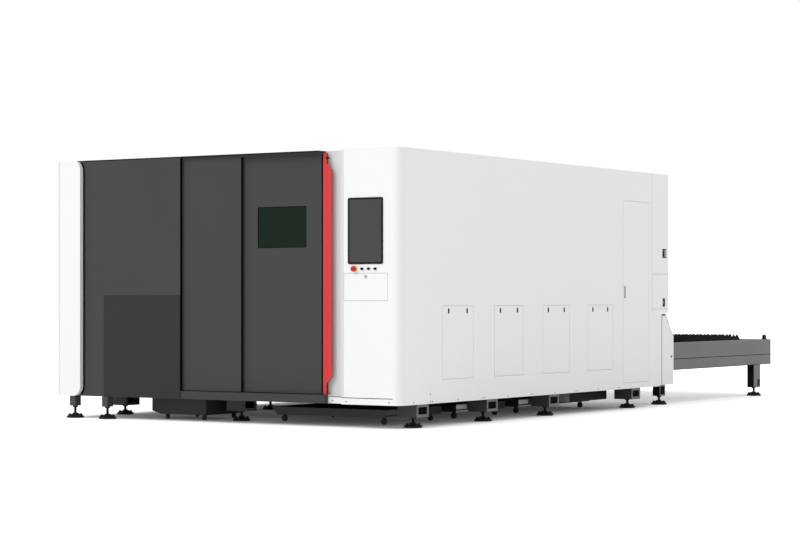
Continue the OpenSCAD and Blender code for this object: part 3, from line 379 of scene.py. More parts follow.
@dataclass(frozen=True)
class Finish:
    """One real material: its colour, gloss and the fine unevenness of how its surface was made."""

    name: str
    colour: str
    roughness: float
    metallic: float = 0.0
    specular: float = 0.5
    wear: Wear = Wear.NEW
    cloud_mm: float = 260.0
    grain_mm: float = 9.0
    grain_depth_mm: float = 0.0
    stretch: tuple[float, float, float] = (1.0, 1.0, 1.0)

    def material(self) -> bpy.types.Material:
        """The material, made once.

        The colour is multiplied by 1 - w to 1 + w / 2 through soft clouds of cloud_mm, the roughness varies
        with the same clouds, and the surface is bumped by grain of grain_mm.

        Returns:
            The Blender material.
        """
        known = bpy.data.materials.get(self.name)
        if known:
            return known
        material = bpy.data.materials.new(self.name)
        material.use_nodes = True
        tree = material.node_tree
        shader = tree.nodes["Principled BSDF"]
        shader.inputs["Base Color"].default_value = linear(self.colour)
        shader.inputs["Roughness"].default_value = self.roughness
        shader.inputs["Metallic"].default_value = self.metallic
        shader.inputs["Specular IOR Level"].default_value = self.specular
        self.uneven(tree, shader)
        return material

    def uneven(self, tree: bpy.types.NodeTree, shader: bpy.types.Node) -> None:
        """Adds the clouds and the grain of the surface.

        Args:
            tree: The material's tree.
            shader: Its surface shader.
        """
        coords = add(tree, "ShaderNodeTexCoord").outputs["Object"]
        spot = add(tree, "ShaderNodeMapping", {"Vector": coords, "Scale": self.stretch}).outputs["Vector"]
        cloud = add(tree, "ShaderNodeTexNoise", {"Vector": spot, "Scale": per_metre(self.cloud_mm), "Detail": 4.0})
        spread = GLOSS_SPREAD + self.wear.value * WORN_SPREAD
        gloss = {
            "Value": cloud.outputs["Fac"],
            "From Min": GLOSS_RANGE[0],
            "From Max": GLOSS_RANGE[1],
            "To Min": max(self.roughness - spread, LEAST_ROUGHNESS),
            "To Max": min(self.roughness + spread, 1.0),
        }
        rough = add(tree, "ShaderNodeMapRange", gloss)
        tree.links.new(rough.outputs["Result"], shader.inputs["Roughness"])
        if self.wear is not Wear.NEW:
            base = linear(self.colour)
            low = tuple(c * (1 - self.wear.value) for c in base[:3])
            high = tuple(min(c * (1 + self.wear.value / 2), 1.0) for c in base[:3])
            ramp = add(tree, "ShaderNodeValToRGB", {"Fac": cloud.outputs["Fac"]})
            for stop, position, tone in zip(ramp.color_ramp.elements, TONE_RANGE, (low, high)):
                stop.position = position
                stop.color = (*tone, 1.0)
            tree.links.new(ramp.outputs["Color"], shader.inputs["Base Color"])
        if self.grain_depth_mm:
            grain = add(tree, "ShaderNodeTexNoise", {"Vector": spot, "Scale": per_metre(self.grain_mm), "Detail": 2.0})
            relief = {"Height": grain.outputs["Fac"], "Strength": BUMP_STRENGTH, "Distance": self.grain_depth_mm * MM}
            bump = add(tree, "ShaderNodeBump", relief)
            tree.links.new(bump.outputs["Normal"], shader.inputs["Normal"])


# Powder coat is sprayed and baked: an even, slightly orange-peeled satin skin. Its real peel is 1 to 2 mm
# wide and too fine to show, so it is drawn about 10 mm wide.
PEEL = {"grain_mm": 10, "grain_depth_mm": 0.05}
WHITE_COAT = Finish("white_powder_coat", "#EEEEEE", 0.42, specular=0.3, **PEEL)
# Grey paint on the door jamb and on the pillars' edges, greyer than the white faces: painted shade where the recessed
# jamb and the rounded edges turn from the light.
EDGE_SHADE_COAT = Finish("painted_edge_shade_coat", "#D6D6D6", 0.45, specular=0.25, **PEEL)
# The dark coats are flatter, and hands have left faint clouds on their wide sheets.
DARK = {"specular": 0.16, "wear": Wear.HANDLED, **PEEL}
DARK_COAT = Finish("dark_grey_powder_coat", "#414141", 0.5, cloud_mm=900, **DARK)
ACCESS_COAT = Finish("charcoal_powder_coat", "#2E2E2E", 0.5, cloud_mm=900, **DARK)
SILL_COAT = Finish("graphite_powder_coat", "#3F3F3F", 0.5, **DARK)
RED_COAT = Finish("red_powder_coat", "#D03C3C", 0.45, specular=0.2, **PEEL)
BLACK_COAT = Finish("black_powder_coat", "#0B0B0B", 0.55, specular=0.1, **PEEL)
# Brushed-on machine enamel over welded steel: flatter and less even than a baked coat.
BRUSHED = {"specular": 0.2, "wear": Wear.HANDLED, "grain_mm": 14, "grain_depth_mm": 0.12}
BED_ENAMEL = Finish("grey_machine_enamel", "#737373", 0.55, **BRUSHED)
BLOCK_ENAMEL = Finish("dark_machine_enamel", "#474747", 0.55, **BRUSHED)
# The same enamel on the trays, rough and patchy from hot scrap. A paler, more even copy on the first tray's front is
# painted light on that face.
TRAY = {"specular": 0.2, "cloud_mm": 120, "grain_mm": 12, "grain_depth_mm": 0.2}
TRAY_ENAMEL = Finish("tray_enamel", "#404040", 0.6, wear=Wear.WORKED, **TRAY)
PAINTED_LIGHT_TRAY = Finish("painted_light_tray_enamel", "#5C5C5C", 0.6, wear=Wear.HANDLED, **TRAY)
# Ground and zinc-plated steel: a grey metal with soft streaks along its length.
PLATED_STEEL = Finish("zinc_plated_steel", "#B9BBBD", 0.34, 1.0, wear=Wear.HANDLED, cloud_mm=60, stretch=(1, 0.15, 1))
# Plasma-cut mild steel slats: mill scale burnt blue-grey, spattered where sheets were cut.
SPATTER = {"cloud_mm": 70, "grain_mm": 8, "grain_depth_mm": 0.4}
SLAT_STEEL = Finish("cut_mild_steel", "#232221", 0.65, 0.2, 0.2, wear=Wear.WORKED, **SPATTER)
# Extruded and clear-anodised aluminium: a pale matt metal, drawn in one direction.
ANODISED = Finish("anodised_aluminium", "#CFD2D4", 0.38, 1.0, wear=Wear.HANDLED, cloud_mm=40, stretch=(0.1, 1, 1))
# Grey of the saw-cut tube ends and of the first tray's end plate, paler than the enamel beside them: painted light on
# end faces that look to the side.
END_FACE_GREY = Finish("painted_light_end_grey", "#747474", 0.6, specular=0.2, wear=Wear.HANDLED, cloud_mm=30)
# Hot-dipped sheet: a light grey metal whose zinc has set in soft patches.
GALVANISED = Finish("galvanised_sheet", "#C4C6C8", 0.5, 0.7, wear=Wear.WORKED, cloud_mm=45)
# Turned copper of the nozzle: a warm metal with a tight highlight.
COPPER = Finish("turned_copper", "#C98A5E", 0.28, 1.0)
# Blackened fasteners and painted cast feet: dark and dry, with the sand's grain on the castings.
BLACK_OXIDE = Finish("black_oxide_steel", "#1C1C1D", 0.5, 0.6, wear=Wear.HANDLED, cloud_mm=20)
SAND = {"grain_mm": 6, "grain_depth_mm": 0.25}
CAST_FOOT = Finish("black_painted_casting", "#131313", 0.62, specular=0.25, wear=Wear.HANDLED, **SAND)
# Injection-moulded ABS: fine spark-eroded texture, drawn about 4 mm wide so that it can be seen.
SPARK = {"grain_mm": 4, "grain_depth_mm": 0.03}
BLACK_ABS = Finish("black_moulded_abs", "#0D0D0D", 0.5, specular=0.12, grain_mm=4, grain_depth_mm=0.04)
# The switch handle is a deeper red that has gone dull, as it shows in the photograph.
DULL_RED_ABS = Finish("dull_red_moulded_abs", "#6E1C1D", 0.5, specular=0.2, **SPARK)
RED_ABS = Finish("red_moulded_abs", "#B41D20", 0.4, specular=0.3, **SPARK)
YELLOW_ABS = Finish("yellow_moulded_abs", "#E9B914", 0.4, specular=0.4, **SPARK)
GREY_ABS = Finish("pale_grey_moulded_abs", "#C4C5C6", 0.45, specular=0.4, **SPARK)
# Extruded EPDM rubber of seals, plugs and trim: dull black with no clear highlight.
EPDM = Finish("black_epdm_rubber", "#0A0A0A", 0.8, specular=0.04)
# Pale foam rubber lip that closes the gaps round the hatches: matt, a shade under the coat beside it.
PALE_RUBBER = Finish("pale_lip_rubber", "#EFEFEF", 0.8, specular=0.1)
# Tooled grey sealant in the joints between wall sheets: a matt line.
SEALANT = Finish("grey_joint_sealant", "#BEBEBE", 0.7, specular=0.2)
# Cast laser-safe acrylic in the door: deep green, all but opaque from outside, with a polished face.
LASER_ACRYLIC = Finish("laser_safe_acrylic", "#102015", 0.12, specular=0.1)
# Hardened cover glass of the monitor: smooth, and dark grey while the monitor is off.
SCREEN_GLASS = Finish("screen_cover_glass", "#414242", 0.2, specular=0.2)


def numbered(stem: str, count: int) -> tuple[str, ...]:
    """The names of like pieces, counted from 1."""
    return tuple(f"{stem}_{i}" for i in range(1, count + 1))


NODE_FINISH: dict[Finish, tuple[str, ...]] = {
    WHITE_COAT: (
        "right_wall", "left_wall", "roof", "rear_wall", "end_columns", "rear_skirts", "left_pillar", "control_pillar",
        "kick_plate", "keyboard_flap", *numbered("side_flap", 4), "service_door", "box_door",
    ),
    # The recessed door jamb is painted grey: painted shade in the recess.
    EDGE_SHADE_COAT: ("door_jamb",),
    DARK_COAT: ("fixed_panel", "lead_door", "trailing_door"),
    ACCESS_COAT: ("access_panel",),
    SILL_COAT: ("door_sill", "door_header"),
    RED_COAT: ("door_edge",),
    BED_ENAMEL: ("bed_frame", "table_frame", "inner_pallet", "outer_pallet"),
    BLOCK_ENAMEL: ("foot_blocks",),
    TRAY_ENAMEL: (*numbered("slag_tray", 3), "scrap_bin"),
    BLACK_OXIDE: ("lead_rollers", "trailing_rollers"),
    PLATED_STEEL: ("foot_studs", "pallet_rails", "gantry_rails", "flap_lock"),
    SLAT_STEEL: ("inner_slats", "outer_slats"),
    ANODISED: ("gantry_beam", "carriage"),
    CAST_FOOT: ("foot_pads",),
    BLACK_ABS: (
        "monitor_housing", *numbered("push_button", 3), "keyboard", "box_latch", "switch_pocket", "cutting_head",
        "end_stops",
    ),
    RED_ABS: ("stop_button",),
    DULL_RED_ABS: ("switch_handle",),
    YELLOW_ABS: ("stop_collar",),
    GREY_ABS: ("service_grip",),
    EPDM: ("door_seal",),
    LASER_ACRYLIC: ("door_window",),
    SCREEN_GLASS: ("monitor_glass",),
}


def coat_nodes() -> None:
    """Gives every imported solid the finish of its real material, in its own material slots."""
    for finish, names in NODE_FINISH.items():
        for name in names:
            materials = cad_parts[name].data.materials
            for i in range(len(materials)):
                materials[i] = finish.material()
            if not len(materials):
                materials.append(finish.material())
            log.info("coated %s with %s", name, finish.name)


def make_piece(
    name: str, shape: Shape, finish: Finish, body: str, stands_for: Sequence[str] = ()
) -> None:
    """Makes a mesh object from a surface in metres of the shared frame, riding on a body.

    Args:
        name: Name of the piece.
        shape: The surface.
        finish: Its material.
        body: The body that carries it.
        stands_for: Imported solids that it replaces.
    """
    mesh = bpy.data.meshes.new(name)
    mesh.from_pydata(shape.points.tolist(), [], shape.quads.tolist() + [cap.tolist() for cap in shape.caps])
    mesh.polygons.foreach_set("use_smooth", np.ones(len(mesh.polygons), bool))
    mesh.set_sharp_from_angle(angle=SMOOTH_ANGLE)
    mesh.materials.append(finish.material())
    mesh.validate()
    piece = bpy.data.objects.new(name, mesh)
    bpy.context.scene.collection.objects.link(piece)
    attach(piece, body)
    if stands_for:
        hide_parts(*stands_for)
    log.info("made %s: %d faces on %s", name, len(mesh.polygons), body)


@dataclass
class Feet:
    """Levelling feet and tube blocks: bolted pads, threaded studs with nuts, sawn tube ends and their plugs."""

    pad_r: float = 74.0
    pad_h: float = 24.0
    pad_step: float = 6.0
    bolts: int = 8
    bolt_ring: float = 0.7
    bolt_start: float = 0.2
    stud_r: float = 12.0
    thread_pitch: float = 5.0
    thread_d: float = 1.6
    nut_across: float = 40.0
    nut_h: float = 14.0
    nut_turn: float = 0.4
    boss_h: float = 3.0
    block_foot: float = 84.0
    small_foot: float = 104.0
    leg_foot: float = 90.0
    # Side and height of a large tube block
    block: tuple[float, float] = (180.0, 106.0)
    # Size of a rear block along u and along v
    rear_block: tuple[float, float] = (75.0, 120.0)
    rows: tuple[float, ...] = (380, 1470, 2540, 4130)
    left_rows: tuple[float, ...] = (700, 1470, 2540, 4130)
    # u from the middle of the machine, and v
    mid_blocks: tuple[tuple[float, float], ...] = ((92.0, 440.0), (980.0, 2070.0))
    # u from the left-hand side, and v
    small_feet: tuple[tuple[float, float], ...] = ((180.0, 56.0), (540.0, 56.0))
    leg_v: float = 7142.5
    rear_in: float = 157.5
    rear_v: float = 4880.0
    right_in: float = 120.0
    left_in: float = 200.0
    tube_wall: float = 24.0
    rear_wall: float = 15.0
    plug_in: float = 14.0

    def places(self) -> list[tuple[float, float, float]]:
        """The u and v of each foot and the height of what stands on it."""
        ends = (self.rear_in, BODY_W - self.rear_in)
        block = [(self.right_in, v) for v in self.rows] + [(BODY_W - self.left_in, v) for v in self.left_rows]
        block += [(BODY_W / 2 + u, v) for u, v in self.mid_blocks] + [(u, self.rear_v) for u in ends]
        small = [(BODY_W - u, v) for u, v in self.small_feet]
        table = [(u, self.leg_v) for u in ends]
        tops = ((block, self.block_foot), (small, self.small_foot), (table, self.leg_foot))
        return [(u, v, top) for spots, top in tops for u, v in spots]

    def pad(self) -> Shape:
        """Turned pad with a rolled rim and a boss for the stud, and a ring of bolts with washers on its shoulder."""
        r, h = self.pad_r, self.pad_h
        low = h - self.pad_step
        rim = [(r - 4, 0), (r - 1, 2), (r, 5), (r, low - 2), (r - 2, low)]
        boss = [(r * 0.6, low + 1), (r * 0.5, low + 2), (r * 0.42, h), (r * 0.32, h + self.boss_h), (r * 0.24, h + 5)]
        bolt = lathe([(13, 0), (13, 4), (11.5, 4.4), (11.5, 13), (10, 15), (7, 15.4), (7, 18), (5.5, 19)], 12)
        spots = round_about(self.bolts, r * self.bolt_ring, self.bolt_start)
        return joined([lathe(rim + boss, 36), bolt.moved((0, 0, low)).repeated(spots)])

    def stud(self, top: float) -> Shape:
        """Threaded bar whose radius falls and rises once a pitch, with a hexagon nut at each end.

        Args:
            top: Height of what stands on the stud.

        Returns:
            The stud with its nuts, from the pad's boss up.
        """
        low = self.pad_h + self.boss_h
        turns = max(int((top - low) / self.thread_pitch), 1)
        z = np.linspace(low, top, 2 * turns + 1)
        r = np.where(np.arange(len(z)) % 2, self.stud_r, self.stud_r - self.thread_d)
        bar = lathe(list(zip(r, z)), 16)
        flat, h = self.nut_across / 2 / math.cos(math.pi / 6), self.nut_h
        nut = lathe([(flat - 2, 0), (flat, 1.5), (flat, h - 1.5), (flat - 2, h)], 6)
        lock_nut = nut.spun(self.nut_turn).moved((0, 0, low + self.boss_h))
        return joined([bar, nut.moved((0, 0, top - h)), lock_nut])

    def block_z(self) -> float:
        """Height of the middle of the tube blocks."""
        return self.block_foot + self.block[1] / 2

    def at_ends(self, wide: Shape, narrow: Shape, sunk: float) -> Shape:
        """A fitting set on the outer open side of each tube block.

        Args:
            wide: The fitting for the large blocks.
            narrow: The fitting for the small blocks under the shuttle table.
            sunk: How far inside the open side it sits.

        Returns:
            All the fittings as one surface.
        """
        half, z = self.block[0] / 2, self.block_z()
        outer = [(self.right_in - half, v) for v in self.rows]
        outer += [(BODY_W / 2 + u - half, v) for u, v in self.mid_blocks]
        right = [wide.set_at(Facing.RIGHT, u + sunk, v, z) for u, v in outer]
        left_u = BODY_W - self.left_in + half - sunk
        left = [wide.set_at(Facing.LEFT, left_u, v, z) for v in self.left_rows]
        edge = self.rear_in - self.rear_block[0] / 2 + sunk
        rear = [
            narrow.set_at(Facing.RIGHT, edge, self.rear_v, z),
            narrow.set_at(Facing.LEFT, BODY_W - edge, self.rear_v, z),
        ]
        return joined(right + left + rear)

    def build(self) -> None:
        """Makes the pads, the studs, the sawn tube ends with their plugs, and black plates of painted shade on the
        fronts of the rear blocks.
        """
        spots = self.places()
        pads = joined([self.pad().set_at(Facing.UP, u, v, 0) for u, v, _ in spots])
        make_piece("levelling_pads", pads, CAST_FOOT, MACHINE, ["foot_pads"])
        studs = joined([self.stud(top).set_at(Facing.UP, u, v, 0) for u, v, top in spots])
        make_piece("levelling_studs", studs, BLACK_OXIDE, MACHINE, ["foot_studs"])
        (wide, high), (thick, narrow) = self.block, self.rear_block
        rings = [frame_ring(w, high, 1, band, 0.6, 2) for w, band in ((wide, self.tube_wall), (narrow, self.rear_wall))]
        # The tube-end rings are a paler grey than the block enamel: painted light on the end faces.
        make_piece("sawn_tube_ends", self.at_ends(*rings, 0.0), END_FACE_GREY, MACHINE)
        gap, proud = 0.5, 0.3
        wide_plug = slab(wide - 2 * self.tube_wall - gap, high - 2 * self.tube_wall - gap, 2, 2, 0.5, 3)
        narrow_plug = slab(narrow - 2 * self.rear_wall, high - 2 * self.rear_wall, self.plug_in + proud, 2, 0.2, 3)
        make_piece("tube_plugs", self.at_ends(wide_plug, narrow_plug, self.plug_in), EPDM, MACHINE)
        # Black plates on the rear blocks' fronts: painted shade where those fronts lie in shade.
        front = slab(thick - 2, high - 2, 0.6, 1, 0.2, 2)
        face_v = self.rear_v - narrow / 2
        fronts = [front.set_at(Facing.FRONT, u, face_v, self.block_z()) for u in (self.rear_in, BODY_W - self.rear_in)]
        make_piece("rear_block_shade_fronts", joined(fronts), BLACK_COAT, MACHINE)


@dataclass
class Screws:
    """Low socket-head screws that hold the sheets, about 9 mm across, drawn 12 mm so that they show."""

    head_r: float = 6.0
    rise: float = 0.3
    wall_z: float = 207.0
    wall_first: float = 462.0
    wall_pitch: float = 815.0
    wall_pairs: int = 5
    pair_gap: float = 34.0
    corner_v: float = 203.0
    # v and z of the single screw above the row
    odd_one: tuple[float, float] = (447.0, 266.0)
    kick_z: float = 213.0
    # u and v of each screw of the kick plate
    kick: tuple[tuple[float, float], ...] = ((508.0, 2.0), (105.0, 2.0), (698.0, 91.0))
    # u, v and z
    cheek: tuple[float, float, float] = (100.0, 5035.0, 462.0)

    def heads(self, facing: Facing, spots: Sequence[tuple[float, float, float]]) -> Shape:
        """One low turned head with a sunk socket at each spot.

        Args:
            facing: Which way the heads look.
            spots: Places as u, v and z in millimetres.

        Returns:
            All the heads as one surface.
        """
        r, top = self.head_r, self.rise
        head = lathe([(r, -1.5), (r, 0.5 * top), (0.85 * r, top), (0.5 * r, top), (0.46 * r, 0.1)], 12)
        return joined([head.set_at(facing, *spot) for spot in spots])

    def build(self) -> None:
        """Screws in pairs and singly low on the right-hand wall, on the kick plate and on the rear cheeks."""
        rows = [self.wall_first + i * self.wall_pitch for i in range(self.wall_pairs)]
        along = [v + side * self.pair_gap / 2 for v in rows for side in (-1, 1)]
        along += [v + self.wall_pitch / 2 for v in rows[:-1]] + [self.corner_v]
        wall = [(0, v, self.wall_z) for v in along] + [(0, *self.odd_one)]
        bolt, (u, v, z) = Screws(head_r=11.0, rise=3.0), self.cheek
        heads = [
            self.heads(Facing.RIGHT, wall),
            self.heads(Facing.FRONT, [(*spot, self.kick_z) for spot in self.kick]),
            bolt.heads(Facing.RIGHT, [(u, v, z)]),
            bolt.heads(Facing.LEFT, [(BODY_W - u, v, z)]),
        ]
        make_piece("panel_screws", joined(heads), BLACK_OXIDE, MACHINE)


@dataclass
class DoorTrim:
    """Rubber along the edges of the dark panels and doors and round the window, joint lines, and painted shade on the
    pillars' edges.
    """

    panel_v: float = 40.0
    trail_v: float = 69.0
    lead_v: float = 98.0
    leaf_d: float = 25.0
    fixed_edge_u: float = 2202.0
    trail_edge_u: float = 1591.0
    low: float = 262.0
    high: float = 2192.0
    lip: float = 3.0
    body_z: tuple[float, float] = (190.0, 2208.0)
    pillar_u: float = 3258.0
    pillar_r: float = 85.0
    pillar_turn: float = 44.0
    bead: float = 9.0
    corner_r: float = 70.0
    # Degrees round the corner from the front
    corner_span: tuple[float, float] = (12.0, 84.0)
    # u and z of the near lower corner, width and height
    window: tuple[float, float, float, float] = (957.0, 1437.0, 486.0, 334.0)
    # u, v and z
    latch: tuple[float, float, float] = (763.0, 102.5, 2150.0)
    # Length, and u, v and z of the middle
    kick_lines: tuple[tuple[float, ...], ...] = ((484.0, 312.0, 2.0, 242.3), (184.0, 646.0, 91.0, 244.0))
    # Length, and u and z of the middle
    header: tuple[float, float, float] = (2456.0, 2028.0, 2203.0)
    # Width and height, and u and z of the middle, of the grey strip of painted shade on the control pillar's inner edge
    inner_shade_band: tuple[float, float, float, float] = (26.0, 1958.0, 542.5, 1226.5)

    def edge_lip(self, u: float, v: float, low: float) -> Shape:
        """Rubber lip on the end face of a leaf: a rounded rectangle carried up the edge.

        Args:
            u: Place of the end face.
            v: Place of the leaf's front.
            low: Height of the lower end.

        Returns:
            The lip.
        """
        depth = self.leaf_d - 1
        path = np.array([[0, 0, low], [0, 0, self.high]], float) * MM + place(u - self.lip / 2, v + 0.5 + depth / 2, 0)
        return swept(path, round_rect(depth, self.lip, 1.0, 3) * MM, (1, 0, 0))

    def pillar_bead(self) -> Shape:
        """Black bead beside the left pillar: a rounded section carried along the pillar's curved inner edge."""
        reach = self.pillar_r + self.bead
        low, top = self.body_z[0] + self.pillar_r, self.body_z[1] - self.pillar_r
        turn = np.linspace(math.radians(self.pillar_turn), 0, 12)
        arc = np.stack([self.pillar_u + self.pillar_r - reach * np.cos(turn), reach * np.sin(turn)], axis=-1)
        upper = np.column_stack([arc[:, 0], top + arc[:, 1]])
        lower = np.column_stack([arc[::-1, 0], low - arc[::-1, 1]])
        line = np.concatenate([upper, lower])
        path = place(0, self.panel_v, 0) + np.column_stack([-line[:, 0], np.zeros(len(line)), line[:, 1]]) * MM
        return swept(path, round_rect(2 * self.bead, 4, 1.5, 3) * MM, (0, 1, 0))

    def outer_shade_band(self) -> Shape:
        """Painted shade on the left pillar's rounded outer corner: a thin grey skin, part of a ring about the corner's
        axis, run upwards.
        """
        r, skin, clear = self.corner_r, 0.3, 2.0
        t = np.radians(np.linspace(*self.corner_span, 14))
        arc = np.stack([np.sin(t), -np.cos(t)], axis=-1)
        axis = np.array([BODY_W - r, r])
        outline = np.concatenate([axis + (r + skin) * arc, axis + (r - skin) * arc[::-1]]) * np.array([-1, 1])
        low, top = self.body_z
        shape = stack(np.stack([lifted(outline[::-1], z) for z in (low + clear, top - clear)]))
        return replace(shape, points=shape.points * MM + place(0, 0, 0))

    def build(self) -> None:
        """Makes the lips, the bead, the window gasket, the latch bolt, the joint lines and the painted shade on the
        pillars' edges.
        """
        fixed = self.edge_lip(self.fixed_edge_u, self.panel_v, self.low - 5)
        make_piece("panel_edge_lip", fixed, EPDM, MACHINE)
        trailing = self.edge_lip(self.trail_edge_u, self.trail_v, self.low + 1)
        make_piece("door_edge_lip", trailing, EPDM, "trailing_leaf")
        make_piece("pillar_bead", self.pillar_bead(), EPDM, MACHINE)
        u, z, w, h = self.window
        gasket = frame_ring(w, h, 4, 5, 2.4, 4).set_at(Facing.FRONT, u + w / 2, self.lead_v + 3, z + h / 2)
        make_piece("window_gasket", gasket, EPDM, "lead_leaf")
        bolt = lathe([(9, 0), (9, 8), (6, 9), (6, 20), (4.5, 22)], 16).set_at(Facing.RIGHT, *self.latch)
        make_piece("latch_bolt", bolt, BLACK_OXIDE, "lead_leaf")
        joints = [slab(w, 5, 1.6, 1, 0.4, 2).set_at(Facing.FRONT, *spot) for w, *spot in self.kick_lines]
        make_piece("kick_joint", joined(joints), EPDM, MACHINE)
        w, u, z = self.header
        line = slab(w, 9, 0.6, 1, 0.3, 2).set_at(Facing.FRONT, u, self.panel_v, z)
        make_piece("header_line", line, BLACK_COAT, MACHINE)
        # The grey strips on both pillars' edges are painted shade where the rounded edges turn from the light.
        w, h, u, z = self.inner_shade_band
        inner = slab(w, h, 0.5, 2, 0.2, 2).set_at(Facing.FRONT, u, 0, z)
        make_piece("pillar_edge_shade", joined([inner, self.outer_shade_band()]), EDGE_SHADE_COAT, MACHINE)


@dataclass
class Controls:
    """Operator's fittings on the control pillar: stop button, push buttons, screen frame, cam lock and keyboard."""

    z: float = 1260.0
    stop_u: float = 424.0
    button_u: tuple[float, ...] = (229.0, 291.0, 353.0)
    stop_reach: float = 33.0
    button_reach: float = 9.0
    # Width, height and thickness
    cap: tuple[float, float, float] = (30.0, 17.0, 2.2)
    # u and z
    lock: tuple[float, float] = (321.5, 1199.0)
    # u and z of the near lower corner, width and height
    monitor: tuple[float, float, float, float] = (157.5, 1297.5, 329.0, 522.0)
    monitor_v: float = -5.0
    screen_edge: float = 14.0
    # u and z of the near lower corner, width and height
    keyboard: tuple[float, float, float, float] = (142.0, 1034.0, 359.0, 138.0)
    key_base: float = 7.0
    key_margin: float = 8.0
    key_gap: float = 3.0
    key_columns: int = 14
    key_rows: int = 5
    flap_t: float = 3.0

    def stop_head(self) -> Shape:
        """Mushroom turned about its axis: stem, undercut, rim and a crown that is a flat arc."""
        top = self.stop_reach
        return lathe(
            [(7.6, -13), (7.6, 10), (10, 12), (12, top - 15), (21, top - 14), (22, top - 12), (22, top - 8),
             (21, top - 5), (18, top - 2.6), (13, top - 1), (7, top - 0.2), (2, top)],
            40,
        )

    def collar(self) -> Shape:
        """Yellow collar: a ring with an eased rim and a shallow groove."""
        return ring_lathe([(24, 0), (24, 5.5), (22.5, 7.6), (19, 8), (18, 7.2), (11, 7.2), (9, 6), (9, 0)], 40)

    def push_button(self) -> Shape:
        """Turned stem that carries a flat oval cap, clear of its ring nut when pressed in."""
        w, h, thick = self.cap
        back = self.button_reach - thick
        stem = lathe([(8.9, -13), (8.9, 1), (7.8, 1.4), (7.8, back), (7, back + 0.4)], 28)
        return joined([stem, slab(w, h, thick, 8.4, 0.9, 6).moved((0, 0, back))])

    def bezel(self) -> Shape:
        """Ring nut round a button, with an eased face."""
        return ring_lathe([(12.4, 0), (12.4, 1.4), (11.6, 2.2), (10.4, 2.2), (9.4, 1.6), (9.4, 0)], 32)

    def rosette(self) -> Shape:
        """Plain ring round the cam lock."""
        return ring_lathe([(15.5, 0), (15.5, 1.2), (14, 2.2), (12, 2.2), (11.6, 0)], 32)

    def keys(self) -> Shape:
        """Keyboard: a rounded base and a grid of eased caps, looking into the pillar while the flap is closed."""
        u, z, w, h = self.keyboard
        base = slab(w, h, self.key_base, 6, 1.5)
        count = np.array([self.key_columns, self.key_rows])
        inner = np.array([w, h]) - 2 * self.key_margin
        step = inner / count
        cap = slab(*(step - self.key_gap), 4, 2.5, 1.2, 2)
        grid = np.stack(np.meshgrid(*map(np.arange, count)), axis=-1).reshape(-1, 2)
        spots = lifted((grid + 0.5) * step - inner / 2, self.key_base)
        return joined([base, cap.repeated(spots)]).set_at(Facing.BACK, u + w / 2, self.flap_t, z + h / 2)

    def build(self) -> None:
        """Makes the fittings, each on the body that it moves with."""
        head = self.stop_head().set_at(Facing.FRONT, self.stop_u, 0, self.z)
        make_piece("stop_mushroom", head, RED_ABS, "stop", ["stop_button"])
        collar = self.collar().set_at(Facing.FRONT, self.stop_u, 0, self.z)
        make_piece("stop_ring", collar, YELLOW_ABS, MACHINE, ["stop_collar"])
        for i, u in enumerate(self.button_u, 1):
            cap = self.push_button().set_at(Facing.FRONT, u, 0, self.z)
            make_piece(f"button_cap_{i}", cap, BLACK_ABS, f"button_{i}", [f"push_button_{i}"])
        u, z, w, h = self.monitor
        ring = frame_ring(w, h, 12, self.screen_edge, 1.2, 5)
        edge = ring.set_at(Facing.FRONT, u + w / 2, self.monitor_v, z + h / 2)
        make_piece("screen_frame", edge, BLACK_ABS, MACHINE)
        bezels = joined([self.bezel().set_at(Facing.FRONT, u, 0, self.z) for u in self.button_u])
        make_piece("button_bezels", bezels, ANODISED, MACHINE)
        u, z = self.lock
        make_piece("lock_rosette", self.rosette().set_at(Facing.FRONT, u, 0, z), PLATED_STEEL, "desk")
        make_piece("keyboard_keys", self.keys(), BLACK_ABS, "desk", ["keyboard"])


